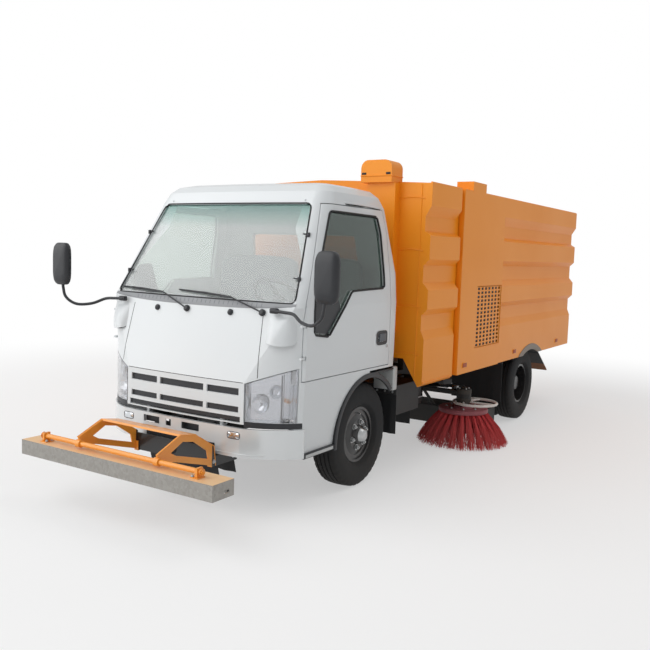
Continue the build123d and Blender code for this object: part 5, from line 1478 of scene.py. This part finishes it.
def broom_drive(piece):
    piece.bar([on_ring(tau * k / 72, RING_Z) for k in range(72)], 0.0125, ring_enamel, 12, closed=True)
    for angle in (-100, 0, 100):
        stay_z = RING_Z - 0.003
        piece.run((BROOM.x, BROOM.y, stay_z), on_ring(radians(angle), stay_z), 0.1, 0.0105, ring_enamel, 10)
    motor = [(0.380, 0.0), (0.380, 0.062), (0.384, 0.071), (0.430, 0.0715), (0.436, 0.066), (0.470, 0.066),
             (0.474, 0.0715), (0.516, 0.0715), (0.5205, 0.066), (0.5215, 0.030), (0.534, 0.028), (0.534, 0.0)]
    piece.turned(motor, BROOM, (0, 0, 1), cast_iron, 40)
    for k in range(4):
        a = pi / 4 + pi * k / 2
        piece.nut(BROOM + at(0.048 * cos(a), 0.048 * sin(a), 0.5205), (0, 0, 1), 0.013,
                  0.008, zinc_plate)
    for shift in (-0.018, 0.018):
        hose = smooth_path([(0.875 + shift, 1.892, 0.520), (0.862 + shift, 1.886, 0.548),
                            (0.800 + shift, 1.882, 0.556), (0.680, 1.890 + shift, 0.530),
                            (0.540, 1.900 + shift, 0.508), (0.425, 1.905 + shift, 0.512)])
        piece.bar(hose, 0.008, seal_rubber, 10)
    piece.run((0.450, 1.935, 0.516), (0.780, 1.935, 0.520), 0.05, 0.010, ground_rod, 14)
    piece.run((0.450, 1.935, 0.516), (0.600, 1.935, 0.518), 0.05, 0.018, frame_paint, 14)
    piece.block((0.770, 1.918, 0.497), (0.800, 1.952, 0.536), zinc_plate, 0.004)


both_sides(broom_drive, "broom_drive", "broom_arm")
print("broom drives fitted")

# %% [markdown]
# ## Cab interior
# Through the glass show the seats, the wheel and the dashboard. A seat cushion is foam in a sewn cover:
# crowned, drawn in at its seams, and flat only underneath. It is shaped directly here: a rounded block whose
# faces swell, with sewn channels pressed into the sitting face.

# %% Seats
CELLS = 14                  # the pad's faces are divided into this many cells a side
SQUARENESS = 7              # higher makes the pad's edges tighter
SHRINK, CROWNED = 0.94, 0.018
CHANNEL_DEEP, CHANNEL_WIDE = 0.010, 0.045
UP, FRONT = (2, 1), (1, -1)     # a face as its axis and its way along it


def cushion(piece, low, high, sewn, channels, lean=0.0):
    """A crowned pad between two corners, with channels across its sewn face and a rake."""
    middle, half = (Vector(low) + Vector(high)) / 2, (Vector(high) - Vector(low)) / 2
    verts, faces, seen = [], [], {}
    for axis, way in ((axis, way) for axis in range(3) for way in (-1, 1)):
        second, third = (axis + 1) % 3, (axis + 2) % 3

        def corner(i, k):
            """The number of the pad's point at a cell's corner; edges are shared between faces."""
            unit = [0.0, 0.0, 0.0]
            unit[axis], unit[second], unit[third] = way, -1 + 2 * i / CELLS, -1 + 2 * k / CELLS
            key = tuple(round(v, 5) for v in unit)
            if key not in seen:
                seen[key] = len(verts)
                reach = sum(abs(v) ** SQUARENESS for v in unit) ** (1 / SQUARENESS)
                p = Vector([v / reach for v in unit])
                spot = p * half * SHRINK
                if (axis, way) != (2, -1):
                    spot[axis] += way * CROWNED * (1 - p[second] ** 2) * (1 - p[third] ** 2)
                for line in channels if (axis, way) == sewn else ():
                    spot[axis] -= way * CHANNEL_DEEP * exp(-((p.x - line) / CHANNEL_WIDE) ** 2)
                verts.append(middle + spot + at(0, lean * (spot.z + half.z), 0))
            return seen[key]

        grid = [[corner(i, k) for k in range(CELLS + 1)] for i in range(CELLS + 1)]
        for i in range(CELLS):
            for k in range(CELLS):
                faces.append((grid[i][k], grid[i + 1][k], grid[i + 1][k + 1], grid[i][k + 1])[::way])
    piece.add(verts, faces, seat_cloth, True)


for name, x0, x1, channels in (("driver_seat", 0.160, 0.660, (-0.5, 0.5)),
                               ("bench_seat", -0.790, 0.060, (-0.62, 0.0, 0.62))):
    seat = Piece(name)
    cushion(seat, (x0, -0.285, 1.155), (x1, 0.215, 1.272), UP, channels)
    cushion(seat, (x0 + 0.012, 0.135, 1.275), (x1 - 0.012, 0.250, 1.745), FRONT, channels, lean=0.10)
    seat.block((x0 + 0.03, -0.250, 1.110), (x1 - 0.03, 0.200, 1.152), moulded_black, 0.008)
    made = seat.done("cab")
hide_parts("seats")
print("seats upholstered")

# %% [markdown]
# ## Camera and light
# The camera stands at the height of a person's eyes ahead of the truck's left corner, leaning a little. Two
# large soft lamps and a pale world light the paint at about the level it is written.

# %% Camera
CAMERA_AT = at(3.7608, -5.1451 + AXLE_Y, 1.7917)
BEARING = radians(32.607)
PITCH = radians(5.313)
ROLL = radians(1.881)
LENS_MM, SENSOR_MM = 43.27, 36.0

forward = at(-sin(BEARING) * cos(PITCH), cos(BEARING) * cos(PITCH), -sin(PITCH))
right = at(cos(BEARING), sin(BEARING), 0)
up = right.cross(forward)
level_right = right * cos(ROLL) + up * sin(ROLL)
level_up = up * cos(ROLL) - right * sin(ROLL)
eye = bpy.data.objects.new("camera", bpy.data.cameras.new("camera"))
bpy.context.scene.collection.objects.link(eye)
eye.matrix_world = Matrix((
    (level_right.x, level_up.x, -forward.x, CAMERA_AT.x),
    (level_right.y, level_up.y, -forward.y, CAMERA_AT.y),
    (level_right.z, level_up.z, -forward.z, CAMERA_AT.z),
    (0, 0, 0, 1),
))
eye.data.lens = LENS_MM
eye.data.sensor_width = SENSOR_MM
bpy.context.scene.camera = eye
print("camera at", [round(v, 3) for v in CAMERA_AT])

# %% [markdown]
# The floor is pale close to the truck, where it takes the shadow, and glows white further out. Camera, glossy
# and transmitted rays see that glow, so paint, glass and metal show the same bright surroundings. Rays
# that light the truck don't, which keeps its shading soft but clear.

# %% Light and floor
FLOOR_HALF = 30.0
GLOW_FROM, GLOW_FULL, GLOW_LEAST = 4.0, 9.0, 0.45      # metres from the truck, and the glow nearest to it
WORLD_LIGHT, WORLD_SEEN, WORLD_MIRRORED = 0.45, 1.0, 0.5

scene = bpy.context.scene
scene.view_settings.view_transform = "Standard"

floor_mesh = bpy.data.meshes.new("floor")
floor_mesh.from_pydata([(x * FLOOR_HALF, y * FLOOR_HALF, 0) for x, y in SQUARE], [], [(0, 1, 2, 3)])
floor = bpy.data.objects.new("floor", floor_mesh)
scene.collection.objects.link(floor)
floor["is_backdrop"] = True
floor_finish, tree, shader = new_finish("studio_floor_pale")
shader.inputs["Base Color"].default_value = srgb("#F2F2F2")
shader.inputs["Roughness"].default_value = 0.9
floor.data.materials.append(floor_finish)
place = node(tree, "TexCoord").outputs["Object"]
reach = node(tree, "VectorMath", {"operation": "LENGTH"}, links={0: place})
away = node(tree, "MapRange", {"interpolation_type": "SMOOTHSTEP"},
            {"From Min": GLOW_FROM, "From Max": GLOW_FULL, "To Min": GLOW_LEAST, "To Max": 1.0},
            {"Value": reach.outputs["Value"]})
rays = node(tree, "LightPath").outputs
mirrored = node(tree, "Math", {"operation": "MAXIMUM"},
                links={0: rays["Is Glossy Ray"], 1: rays["Is Transmission Ray"]})
looked_at = node(tree, "Math", {"operation": "MAXIMUM"},
                 links={0: mirrored.outputs["Value"], 1: rays["Is Camera Ray"]})
seen = node(tree, "Math", {"operation": "MULTIPLY"},
            links={0: away.outputs["Result"], 1: looked_at.outputs["Value"]})
glow = node(tree, "Emission", values={"Color": (1, 1, 1, 1), "Strength": 1.0})
blend = node(tree, "MixShader", links={
    0: seen.outputs["Value"], 1: shader.outputs["BSDF"], 2: glow.outputs["Emission"]})
tree.links.new(blend.outputs["Shader"], tree.nodes["Material Output"].inputs["Surface"])

sky = bpy.data.worlds.new("studio")
scene.world = sky
sky.use_nodes = True
tree = sky.node_tree
rays = node(tree, "LightPath").outputs
straight = node(tree, "Math", {"operation": "MAXIMUM"},
                links={0: rays["Is Camera Ray"], 1: rays["Is Transmission Ray"]})
dimmed = node(tree, "Math", {"operation": "MULTIPLY"}, {1: WORLD_MIRRORED}, {0: rays["Is Glossy Ray"]})
seen = node(tree, "Math", {"operation": "MAXIMUM"},
            links={0: straight.outputs["Value"], 1: dimmed.outputs["Value"]})
level = node(tree, "MapRange", values={"To Min": WORLD_LIGHT, "To Max": WORLD_SEEN},
             links={"Value": seen.outputs["Value"]})
tree.links.new(level.outputs["Result"], tree.nodes["Background"].inputs["Strength"])
tree.nodes["Background"].inputs["Color"].default_value = (1, 1, 1, 1)


def soft_lamp(name, place, target, size, power):
    """A square soft box aimed at a point."""
    lamp = bpy.data.lights.new(name, "AREA")
    lamp.size = size
    lamp.energy = power
    made = bpy.data.objects.new(name, lamp)
    scene.collection.objects.link(made)
    made.location = place
    made.rotation_euler = (Vector(target) - Vector(place)).to_track_quat("-Z", "Y").to_euler()


soft_lamp("key_box", (-9.5, -13.0, 11.0), (0, -0.5, 1.0), 24.0, 3000)
soft_lamp("side_box", (3.9, 2.0, 9.5), (1.0, 1.8, 1.2), 5.0, 120)
print("lights set")

# %% [markdown]
# Last, the pieces are counted, and the dressed truck's box is measured.

# %% Sizes and finish
total = sum(count for _, count in PIECES)
print("pieces:", len(PIECES), "triangles:", total, "largest:", max(PIECES, key=lambda p: p[1]))
low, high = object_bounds()
